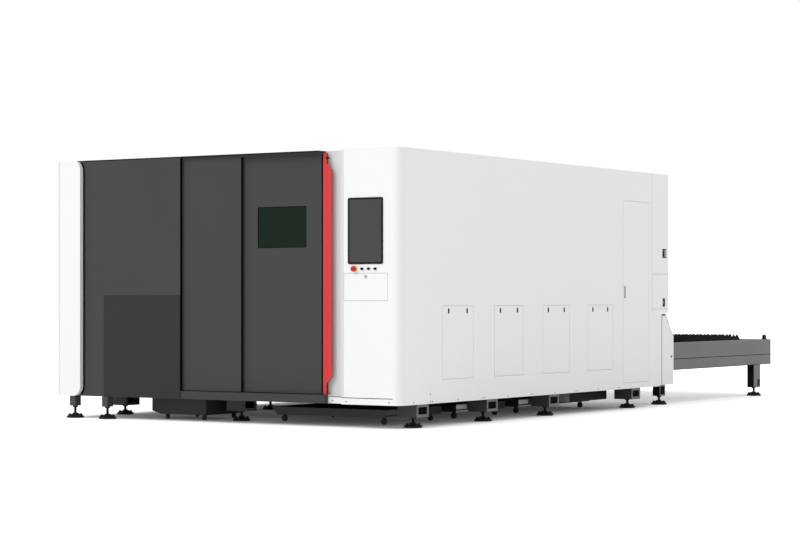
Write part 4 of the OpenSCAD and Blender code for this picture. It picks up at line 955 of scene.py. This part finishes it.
@dataclass
class Hatches:
    """Lips that close the gaps round the hatches, finger pulls, the lining of the switch pocket and the latch's lock
    barrel.
    """

    reach: float = 3.4
    sunk: float = 8.0
    lip_t: float = 3.0
    flaps: int = 4
    # v (u on the desk) and z of the near lower corner, width and height, as for the next three
    flap: tuple[float, float, float, float] = (630.0, 380.0, 480.0, 584.0)
    flap_pitch: float = 829.0
    service: tuple[float, float, float, float] = (3813.0, 248.0, 527.0, 1677.0)
    fuse: tuple[float, float, float, float] = (4417.0, 929.0, 321.0, 326.0)
    desk: tuple[float, float, float, float] = (118.0, 1012.0, 407.0, 211.0)
    pull_in: float = 96.0
    pull_z: float = 926.0
    pull_sunk: float = 9.9
    # v and z of the pocket, its depth and its height
    switch: tuple[float, float, float, float] = (4714.0, 1454.0, 38.0, 74.0)
    # u, v and z
    barrel: tuple[float, float, float] = (2.2, 4651.0, 986.0)

    def lip(self, facing: Facing, hatch: tuple[float, float, float, float]) -> Shape:
        """Ring a little wider than its hatch, which fills the gap below the face at the depth of the hinge pins.

        Args:
            facing: Which way the hatch looks.
            hatch: Place of its near lower corner along the wall and up, its width and its height.

        Returns:
            The ring.
        """
        start, low, w, h = hatch
        ring = frame_ring(w + 2 * self.reach, h + 2 * self.reach, 1.0, self.reach + 1, self.lip_t, 2)
        along = start + w / 2
        spot = (along, self.sunk) if facing is Facing.FRONT else (self.sunk, along)
        return ring.set_at(facing, *spot, low + h / 2)

    def pull(self) -> Shape:
        """Moulded cup: a ring that lines the pocket and the bottom of the pocket."""
        lining = frame_ring(23.8, 40.8, 4, 2.4, 9.6, 4)
        return joined([lining, slab(22, 39, 1.2, 3, 0.3, 4)])

    def flap_fittings(self) -> None:
        """Makes the lip and the two pulls of each side flap."""
        v, z, w, h = self.flap
        for i in range(self.flaps):
            near, body = v + i * self.flap_pitch, f"hatch_{i + 1}"
            make_piece(f"flap_lip_{i + 1}", self.lip(Facing.RIGHT, (near, z, w, h)), PALE_RUBBER, body)
            middles = (near + self.pull_in, near + w - self.pull_in)
            cups = [self.pull().set_at(Facing.RIGHT, self.pull_sunk, m, self.pull_z) for m in middles]
            make_piece(f"finger_pulls_{i + 1}", joined(cups), BLACK_ABS, body)

    def build(self) -> None:
        """Makes the fittings of the flaps, the doors, the switch pocket, the latch and the keyboard flap."""
        self.flap_fittings()
        make_piece("service_lip", self.lip(Facing.RIGHT, self.service), PALE_RUBBER, "service")
        make_piece("fuse_lip", self.lip(Facing.RIGHT, self.fuse), PALE_RUBBER, "fuse_door")
        far, z, deep, high = self.switch
        liner = slab(deep - 2, high, 0.6, 2, 0.2, 3).set_at(Facing.FRONT, deep / 2, far, z)
        make_piece("switch_liner", liner, WHITE_COAT, MACHINE)
        barrel = lathe([(8, -0.8), (8, 1.2), (7.2, 1.9), (4, 2.0), (1.5, 1.4)], 24)
        make_piece("latch_barrel", barrel.set_at(Facing.RIGHT, *self.barrel), PLATED_STEEL, "fuse_latch")
        make_piece("desk_lip", self.lip(Facing.FRONT, self.desk), PALE_RUBBER, "desk")


@dataclass
class TableDress:
    """Caps on the end stops of the shuttle table, the trim of its beams and of the cheeks beside it, and painted shade
    on its legs and the cheeks' tops.
    """

    stop_v: float = 7445.0
    stop_z: float = 640.0
    stop_sunk: float = 6.0
    track_in: float = 170.0
    side_in: float = 120.0
    beam_v: tuple[float, float] = (5084.0, 7500.0)
    beam_z: tuple[float, float] = (326.0, 590.0)
    # z of its lower edge, height and depth
    groove: tuple[float, float, float] = (430.0, 6.0, 3.8)
    leg_in: float = 157.5
    leg_w: float = 75.0
    leg_v: tuple[float, float] = (7060.0, 7225.0)
    leg_z: tuple[float, float] = (90.0, 326.0)
    # Width, height and depth
    pocket: tuple[float, float, float] = (72.0, 76.0, 3.0)
    pocket_rim: float = 8.0
    skirt_in: float = 100.0
    seam_v: float = 4826.0
    skirt_z: tuple[float, float] = (190.0, 878.0)
    cap_h: float = 20.0
    # v and z of its upper and of its lower end
    slope: tuple[tuple[float, float], tuple[float, float]] = ((4904.0, 878.0), (5084.0, 660.0))
    fold_w: float = 8.0

    def both_sides(self, plate: Shape, u: float, v: float, z: float) -> Shape:
        """A plate on the right-hand side and its twin on the left."""
        return joined([plate.set_at(Facing.RIGHT, u, v, z), plate.set_at(Facing.LEFT, BODY_W - u, v, z)])

    def beam_trim(self) -> Shape:
        """Dark strips on each side beam: in its groove, along its lower edge and up its end."""
        (near, far), (low, top), (groove_z, groove_w, groove_d) = self.beam_v, self.beam_z, self.groove
        long, mid = far - near, (near + far) / 2
        strip = slab(long, groove_w - 0.4, 3.2, 1, 0.5, 2)
        edge = slab(long, 5, 0.5, 1, 0.2, 2)
        end = slab(7, top - low - 2, 0.5, 1, 0.2, 2)
        return joined([
            self.both_sides(strip, self.side_in + groove_d, mid, groove_z + groove_w / 2),
            self.both_sides(edge, self.side_in, mid, low + 3),
            self.both_sides(end, self.side_in, far - 4, (low + top) / 2),
        ])

    def leg_shade_plates(self) -> Shape:
        """Black plates on the front of the table's legs and at the bottom of their pockets: painted shade on faces that
        lie in shade.
        """
        (near, far), (low, top), (w, h, deep), rim = self.leg_v, self.leg_z, self.pocket, self.pocket_rim
        front = slab(self.leg_w - 2, top - low - 2, 0.6, 1, 0.3, 2)
        legs = (self.leg_in, BODY_W - self.leg_in)
        fronts = [front.set_at(Facing.FRONT, u, near, (low + top) / 2) for u in legs]
        bottom = slab(w - rim - 0.6, h - 0.6, 1.0, 1, 0.3, 2)
        return joined(fronts + [self.both_sides(bottom, self.side_in + deep, far - (w + rim) / 2, low + rim + h / 2)])

    def skirt_trim(self) -> Shape:
        """Rubber up the lap of each cheek."""
        low, top = self.skirt_z
        lap = slab(8, top - low - 6, 0.5, 1, 0.2, 2)
        return self.both_sides(lap, self.skirt_in, self.seam_v, (low + top) / 2)

    def skirt_shade_cap(self) -> Shape:
        """Grey strip across the top of each cheek, a millimetre below its top: painted shade where the column overhangs
        the cheek.
        """
        end = self.slope[0][0]
        cap = slab(end - self.seam_v, self.cap_h, 0.5, 1, 0.2, 2)
        return self.both_sides(cap, self.skirt_in, (end + self.seam_v) / 2, self.skirt_z[1] - self.cap_h / 2 - 1)

    def skirt_edge(self) -> Shape:
        """Folded edge down the slope of each cheek: a strip turned by the angle of the slope."""
        (near, top), (far, low) = self.slope
        strip = slab(math.hypot(far - near, top - low) - self.fold_w, self.fold_w, 0.5, 1, 0.2, 2)
        angle = math.atan2(top - low, far - near)
        spot = ((near + far) / 2 - 4, (top + low) / 2 - 3)
        return joined([
            strip.spun(-angle).set_at(Facing.RIGHT, self.skirt_in, *spot),
            strip.spun(angle).set_at(Facing.LEFT, BODY_W - self.skirt_in, *spot),
        ])

    def build(self) -> None:
        """Makes the stop caps, the trim of the beams and the cheeks, and the painted shade on the legs and the cheeks'
        tops.
        """
        cap, tracks = slab(30.6, 40.6, 7, 3, 2, 4), (self.track_in, BODY_W - self.track_in)
        caps = [cap.set_at(Facing.UP, u, self.stop_v, self.stop_z - self.stop_sunk) for u in tracks]
        make_piece("stop_caps", joined(caps), YELLOW_ABS, MACHINE)
        make_piece("beam_trim", self.beam_trim(), EPDM, MACHINE)
        # The black leg plates are painted shade.
        make_piece("leg_shade_plates", self.leg_shade_plates(), BLACK_COAT, MACHINE)
        make_piece("skirt_trim", self.skirt_trim(), EPDM, MACHINE)
        # The grey strip over each cheek is painted shade under the column.
        make_piece("skirt_shade_caps", self.skirt_shade_cap(), BED_ENAMEL, MACHINE)
        make_piece("skirt_edges", self.skirt_edge(), SEALANT, MACHINE)


@dataclass
class GantryDress:
    """What shows through the open doors: cable duct, servo motors, head bands and the copper nozzle."""

    beam_u: tuple[float, float] = (200.0, 3340.0)
    beam_v: float = 1225.0
    beam_top: float = 1120.3
    duct_w: float = 60.0
    duct_h: float = 44.0
    servo_in: float = 150.0
    servo_v: float = 1165.0
    # Shares of the large servo along its axes
    small_servo: tuple[float, float, float] = (0.4, 0.4, 0.9)
    small_servo_u: float = 108.0
    carriage_v: float = 1009.7
    carriage_top: float = 1110.3
    head_v: float = 896.4
    head_r: float = 40.0
    # How far each stands proud, its z and its height
    head_bands: tuple[tuple[float, float, float], ...] = ((3.0, 915.0, 34.0), (2.0, 985.0, 14.0), (3.0, 1040.0, 24.0))
    nozzle_z: float = 800.0
    fins: int = 7
    fin_pitch: float = 6.0

    def duct(self) -> Shape:
        """Slotted cable duct: a rounded channel section carried along the top of the beam."""
        ends = np.stack([place(u, self.beam_v, self.beam_top + self.duct_h / 2) for u in self.beam_u])
        return swept(ends, round_rect(self.duct_w, self.duct_h, 4, 3) * MM, (0, 0, 1))

    def motor(self) -> Shape:
        """Servo motor: rounded squares stacked with shallow fins, a flange below and an encoder cap above."""
        flange, ribs, valley, cap = 45.0, 42.0, 39.0, 36.0
        low, high = 10.0, 52.0
        starts = low + self.fin_pitch * np.arange(self.fins)
        fin_z = np.stack([starts, starts + 4], axis=-1).ravel()
        fin_half = np.repeat(np.where(np.arange(self.fins) % 2, valley, ribs), 2)
        z = np.concatenate([[0, low], fin_z, [high, 96, 96, 128, 132]])
        half = np.concatenate([[flange, flange], fin_half, [ribs, ribs, cap, cap, cap - 4]])
        return stack(np.stack([lifted(round_rect(2 * s, 2 * s, 7, 4), h) for s, h in zip(half, z)]))

    def bands(self) -> Shape:
        """Turned rings round the head: lens drawer, focus ring and neck clamp."""
        inner, shapes = self.head_r - 1, []
        for proud, z, h in self.head_bands:
            r = self.head_r + proud
            ring = ring_lathe([(r, 0), (r, h - 2), (r - 2, h), (inner, h), (inner, 0)], 36)
            shapes.append(ring.set_at(Facing.UP, BODY_W / 2, self.head_v, z))
        return joined(shapes)

    def nozzle(self) -> Shape:
        """Nozzle and its nut, turned: an outward cone, a knurled waist and a shoulder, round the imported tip."""
        profile = [(4.3, 0.2), (12.6, 17), (13.5, 18.2), (17, 18.6), (17, 27), (15, 29)]
        return lathe(profile, 28).set_at(Facing.UP, BODY_W / 2, self.head_v, self.nozzle_z)

    def build(self) -> None:
        """Makes the fittings on the gantry, the carriage and the head."""
        make_piece("cable_duct", self.duct(), BLACK_ABS, "gantry")
        small = self.motor().stretched(*self.small_servo)
        servo = small.set_at(Facing.UP, BODY_W / 2 + self.small_servo_u, self.carriage_v, self.carriage_top)
        make_piece("carriage_servo", servo, BLACK_OXIDE, "cross_carriage")
        ends = (self.servo_in, BODY_W - self.servo_in)
        servos = [self.motor().set_at(Facing.UP, u, self.servo_v, self.beam_top) for u in ends]
        make_piece("gantry_servos", joined(servos), BLACK_OXIDE, "gantry")
        make_piece("head_bands", self.bands(), ANODISED, "head")
        make_piece("copper_nozzle", self.nozzle(), COPPER, "head")


@dataclass
class TrayDress:
    """End plates, lips and pull handles of the trays, the first one's front and the plates of the chip box; the pale
    end plates and the first tray's pale front are painted light, the chip box's black side plate painted shade.
    """

    end_u: float = 455.0
    # v of the front and of the back of each tray
    spans: tuple[tuple[float, float], ...] = ((500.0, 1350.0), (1590.0, 2420.0), (2660.0, 4010.0))
    plate_l: float = 170.0
    plate_z: tuple[float, float] = (84.0, 123.0)
    # Length, height and z
    lip: tuple[float, float, float] = (420.0, 9.0, 66.0)
    edge_gap: float = 2.0
    front_u: tuple[float, float] = (457.0, 1597.0)
    front_z: tuple[float, float] = (62.0, 124.0)
    front_t: float = 0.6
    # How far the lower left corner of the front stands in
    slant: float = 65.0
    box_u: tuple[float, float] = (200.0, 340.0)
    box_v: tuple[float, float] = (3140.0, 3864.0)
    box_z: tuple[float, float] = (91.0, 186.0)
    pulls: int = 2
    pull_u: float = 385.0
    pull_z: float = 100.0
    pull_half: float = 120.0
    pull_r: float = 8.6
    pull_bend: float = 20.0

    def sheet(self, width: float, height: float) -> Shape:
        """Thin plate with eased edges."""
        return slab(width, height, 0.8, 2, 0.3, 3)

    def end_plate(self, near: float) -> Shape:
        """Thin plate and lip on the outer end of a tray, from its corner nearest the front."""
        (low, top), (lip_l, lip_h, lip_z) = self.plate_z, self.lip
        plate, edge, start = self.sheet(self.plate_l, top - low), self.sheet(lip_l, lip_h), near + self.edge_gap
        return joined([
            plate.set_at(Facing.RIGHT, self.end_u, start + self.plate_l / 2, (low + top) / 2),
            edge.set_at(Facing.RIGHT, self.end_u, start + lip_l / 2, lip_z),
        ])

    def front_plate(self) -> Shape:
        """Plate on the front of the first tray, cut on the slant of its left end and raised by its thickness."""
        (right, left), (low, top) = self.front_u, self.front_z
        half, high = (left - right) / 2, (top - low) / 2
        outline = np.array([(self.slant - half, -high), (half, -high), (half, high), (-half, high)])
        plate = stack(np.stack([lifted(outline, 0.0), lifted(outline, self.front_t)]))
        return plate.set_at(Facing.FRONT, (left + right) / 2, self.spans[0][0], (low + top) / 2)

    def box_plates(self) -> tuple[Shape, Shape]:
        """Plates on the front face and on the outer face of the third tray's chip box; the black one on the outer face
        is painted shade.
        """
        (right, left), (near, far), (low, top) = self.box_u, self.box_v, self.box_z
        rim, mid = 2 * self.edge_gap, (low + top) / 2
        front = self.sheet(left - right - rim, top - low - rim).set_at(Facing.FRONT, (left + right) / 2, near, mid)
        side = self.sheet(far - near - rim, top - low - rim).set_at(Facing.RIGHT, right, (near + far) / 2, mid)
        return front, side

    def pull(self, middle: float) -> Shape:
        """Bent bar: a circle carried along two posts and the grip between them, with quarter-circle bends.

        Args:
            middle: Place of the grip's middle along the machine.

        Returns:
            The bar.
        """
        t = np.linspace(0, math.pi / 2, 6)
        u = self.pull_u + self.pull_bend * (1 - np.sin(t))
        v = self.pull_half - self.pull_bend * (1 - np.cos(t))
        half = np.concatenate([[[self.end_u, self.pull_half]], np.stack([u, v], axis=-1)])
        line = np.concatenate([half, half[::-1] * np.array([1, -1])])
        path = place(0, middle, self.pull_z) + np.column_stack([-line[:, 0], line[:, 1], np.zeros(len(line))]) * MM
        return swept(path, circle(self.pull_r, 14) * MM, (0, 0, 1))

    def build(self) -> None:
        """Makes the plates of each tray, the chip box's plates and a handle on the first two trays."""
        # The end plates are paler than the trays' enamel: painted light on the tray ends that face the light, less on
        # the first, whose end lies in shade.
        for i, (span, finish) in enumerate(zip(self.spans, (END_FACE_GREY, GALVANISED, GALVANISED)), 1):
            make_piece(f"tray_end_painted_light_{i}", self.end_plate(span[0]), finish, f"tray_{i}")
        # The first tray's paler front plate is painted light.
        make_piece("tray_front_painted_light_1", self.front_plate(), PAINTED_LIGHT_TRAY, "tray_1")
        front, side = self.box_plates()
        make_piece("chip_box_front", front, GALVANISED, "tray_3")
        # The black plate on the chip box's outer face is painted shade.
        make_piece("chip_box_shade_side", side, BLACK_COAT, "tray_3")
        for i, span in enumerate(self.spans[: self.pulls], 1):
            make_piece(f"tray_pull_{i}", self.pull(sum(span) / 2), GALVANISED, f"tray_{i}")


@dataclass
class RearDress:
    """What is guessed on the sides that the photograph hides: louvres, screws, joints and closing sheets."""

    rear_v: float = 4754.0
    hood_w: float = 420.0
    hood_pitch: float = 34.0
    hoods: int = 9
    hood_low: float = 1480.0
    banks: tuple[float, ...] = (1120.0, 2420.0)
    screw_z: tuple[float, float] = (910.0, 2186.0)
    # First u, limit and pitch
    screw_u: tuple[float, float, float] = (440.0, 3140.0, 290.0)
    joint_v: float = 4407.0
    joint_z: tuple[float, float] = (892.0, 2204.0)
    joint_w: float = 4.0
    return_u: tuple[float, float] = (29.0, 101.0)
    return_z: tuple[float, float] = (191.0, 887.0)
    return_v: float = 4573.0
    closer_z: float = 2204.6
    # u from and to, and v from and to, of each sheet
    closers: tuple[tuple[float, float, float, float], ...] = (
        (28.0, 558.0, 139.0, 162.0), (28.0, 72.0, 69.0, 141.0), (3326.0, 3512.0, 69.0, 162.0)
    )

    def hood(self) -> Shape:
        """One pressed louvre: its hooked section runs across, and shrinks towards both ends."""
        section = np.array([(-9, 0), (9, 0), (9, 2), (5, 9), (-2, 11), (-8, 8), (-9, 6)], float)
        half = self.hood_w / 2
        x = np.array([-half, -half + 5, -half + 14, half - 14, half - 5, half])[:, None, None]
        size = np.array([0.15, 0.7, 1.0, 1.0, 0.7, 0.15])[:, None, None]
        along = np.broadcast_to(x, (len(x), len(section), 1))
        return stack(np.concatenate([along, size * section[None]], axis=-1))

    def wall_joints(self) -> Shape:
        """A line of sealant up each side wall."""
        low, top = self.joint_z
        line = slab(self.joint_w, top - low, 0.3, 0.4, 0.1, 2)
        sides = ((Facing.RIGHT, 0.0), (Facing.LEFT, BODY_W))
        return joined([line.set_at(facing, u, self.joint_v, (low + top) / 2) for facing, u in sides])

    def wall_returns(self) -> Shape:
        """A sheet that closes the rear end of each side wall."""
        (near, far), (low, top) = self.return_u, self.return_z
        sheet, mid = slab(far - near, top - low, 2.5, 1, 0.4, 2), (near + far) / 2
        return joined([sheet.set_at(Facing.BACK, u, self.return_v, (low + top) / 2) for u in (mid, BODY_W - mid)])

    def roof_closers(self) -> Shape:
        """Sheets that close the gaps between the roof and the front pillars."""
        sheets = []
        for left, right, front, back in self.closers:
            sheet = slab(right - left, back - front, 3, 1, 0.3, 2)
            sheets.append(sheet.set_at(Facing.UP, (left + right) / 2, (front + back) / 2, self.closer_z))
        return joined(sheets)

    def build(self) -> None:
        """Makes the louvres of the rear wall, its screws, the joint lines and the closing sheets."""
        rows = np.arange(self.hoods)[:, None] * np.array([0.0, self.hood_pitch, 0.0])
        bank = self.hood().repeated(rows)
        banks = [bank.set_at(Facing.BACK, u, self.rear_v, self.hood_low) for u in self.banks]
        make_piece("rear_louvres", joined(banks), WHITE_COAT, MACHINE)
        spots = [(u, self.rear_v, z) for z in self.screw_z for u in np.arange(*self.screw_u)]
        make_piece("rear_screws", Screws().heads(Facing.BACK, spots), BLACK_OXIDE, MACHINE)
        make_piece("wall_joints", self.wall_joints(), SEALANT, MACHINE)
        make_piece("wall_returns", self.wall_returns(), WHITE_COAT, MACHINE)
        make_piece("roof_closers", self.roof_closers(), WHITE_COAT, MACHINE)


WHITE = (1.0, 1.0, 1.0, 1.0)


@dataclass
class Studio:
    """Pale floor, even white surroundings, one soft key light and the camera of the photograph."""

    floor_half: float = 60.0
    floor_colour: str = "#FAFAFA"
    sky_strength: float = 0.78
    sun_strength: float = 1.2
    # White added to the floor where it is covered and where it is open
    floor_lift: tuple[float, float] = (0.035, 0.6)
    # Metres over which a cover counts
    cover_reach: float = 3.0
    cover_rays: int = 16
    sun_spread: float = 30.0
    sun_from: tuple[float, float, float] = (-0.45, -0.75, 0.85)
    eye: tuple[float, float, float] = (11.035, -18.1655, 1.036)
    heading: float = 32.7
    lens: float = 99.3
    shift_y: float = 0.0385
    sight: float = 200.0

    def build(self) -> None:
        """Makes the floor, the light and the camera, and sets the plain view."""
        bpy.context.scene.view_settings.view_transform = "Standard"
        self.lay_floor()
        self.light()
        self.aim()

    @staticmethod
    def seen_rays(tree: bpy.types.NodeTree) -> bpy.types.NodeSocket:
        """A socket that is 1 for rays of the camera, of reflections and through glass.

        Args:
            tree: The tree of a stage material or of the world.

        Returns:
            The output socket.
        """
        rays = add(tree, "ShaderNodeLightPath").outputs
        seen = add(tree, "ShaderNodeMath", {0: rays["Is Camera Ray"], 1: rays["Is Glossy Ray"]}, operation="MAXIMUM")
        seen = add(tree, "ShaderNodeMath", {0: seen.outputs[0], 1: rays["Is Transmission Ray"]}, operation="MAXIMUM")
        return seen.outputs[0]

    def lay_floor(self) -> None:
        """A flat square under the machine, facing up, as a grid of one cell."""
        ends = np.array([-1.0, 1.0]) * self.floor_half
        x, y = np.meshgrid(ends, ends)
        points = np.stack([x.ravel(), y.ravel(), np.zeros(4)], axis=-1)
        mesh = bpy.data.meshes.new("floor")
        mesh.from_pydata(points.tolist(), [], [(0, 1, 3, 2)])
        floor = bpy.data.objects.new("floor", mesh)
        bpy.context.scene.collection.objects.link(floor)
        # Painted studio floor: matt white, so it takes only the soft shadow. To the eye it is lifted to white where
        # nothing stands close over it, and the shadow under the machine stays dark.
        paint = Finish("matt_white_floor", self.floor_colour, 0.95, specular=0.0).material()
        tree = paint.node_tree
        seen = self.seen_rays(tree)
        cover = add(tree, "ShaderNodeAmbientOcclusion", {"Distance": self.cover_reach}, samples=self.cover_rays)
        covered, bare = self.floor_lift
        glow = add(tree, "ShaderNodeMapRange", {"Value": cover.outputs["AO"], "To Min": covered, "To Max": bare})
        lift = add(tree, "ShaderNodeMath", {0: seen, 1: glow.outputs["Result"]}, operation="MULTIPLY")
        shader = tree.nodes["Principled BSDF"]
        shader.inputs["Emission Color"].default_value = WHITE
        tree.links.new(lift.outputs[0], shader.inputs["Emission Strength"])
        mesh.materials.append(paint)

    def light(self) -> None:
        """White all round, exactly white to the eye and in reflections, and a soft sun from the front left."""
        world = bpy.data.worlds.new("white_studio")
        bpy.context.scene.world = world
        world.use_nodes = True
        tree = world.node_tree
        background = tree.nodes["Background"]
        seen = self.seen_rays(tree)
        strength = add(tree, "ShaderNodeMapRange", {"Value": seen, "To Min": self.sky_strength, "To Max": 1.0})
        tree.links.new(strength.outputs["Result"], background.inputs["Strength"])
        background.inputs["Color"].default_value = WHITE
        lamp = bpy.data.lights.new("key_light", "SUN")
        lamp.energy = self.sun_strength
        lamp.angle = math.radians(self.sun_spread)
        sun = bpy.data.objects.new("key_light", lamp)
        towards = np.array(self.sun_from) / np.linalg.norm(self.sun_from)
        sun.rotation_euler = (math.acos(towards[2]), 0.0, math.atan2(towards[0], -towards[1]))
        bpy.context.scene.collection.objects.link(sun)

    def aim(self) -> None:
        """A level camera with a raised frame, as the photograph has it."""
        data = bpy.data.cameras.new("camera")
        data.lens = self.lens
        data.shift_y = self.shift_y
        data.clip_end = self.sight
        camera = bpy.data.objects.new("camera", data)
        camera.location = self.eye
        camera.rotation_euler = (math.pi / 2, 0.0, math.radians(self.heading))
        bpy.context.scene.collection.objects.link(camera)
        bpy.context.scene.camera = camera


def main() -> None:
    """Coats the solids, builds each sub-assembly in order and lights the scene."""
    logging.basicConfig(level=logging.INFO, format="%(message)s")
    coat_nodes()
    front = (Feet, Screws, DoorTrim, Controls, Hatches)
    rear = (TableDress, GantryDress, TrayDress, RearDress)
    for part in (*front, *rear, Studio):
        part().build()
        log.info("built %s", part.__name__)


if __name__ == "__main__":
    main()
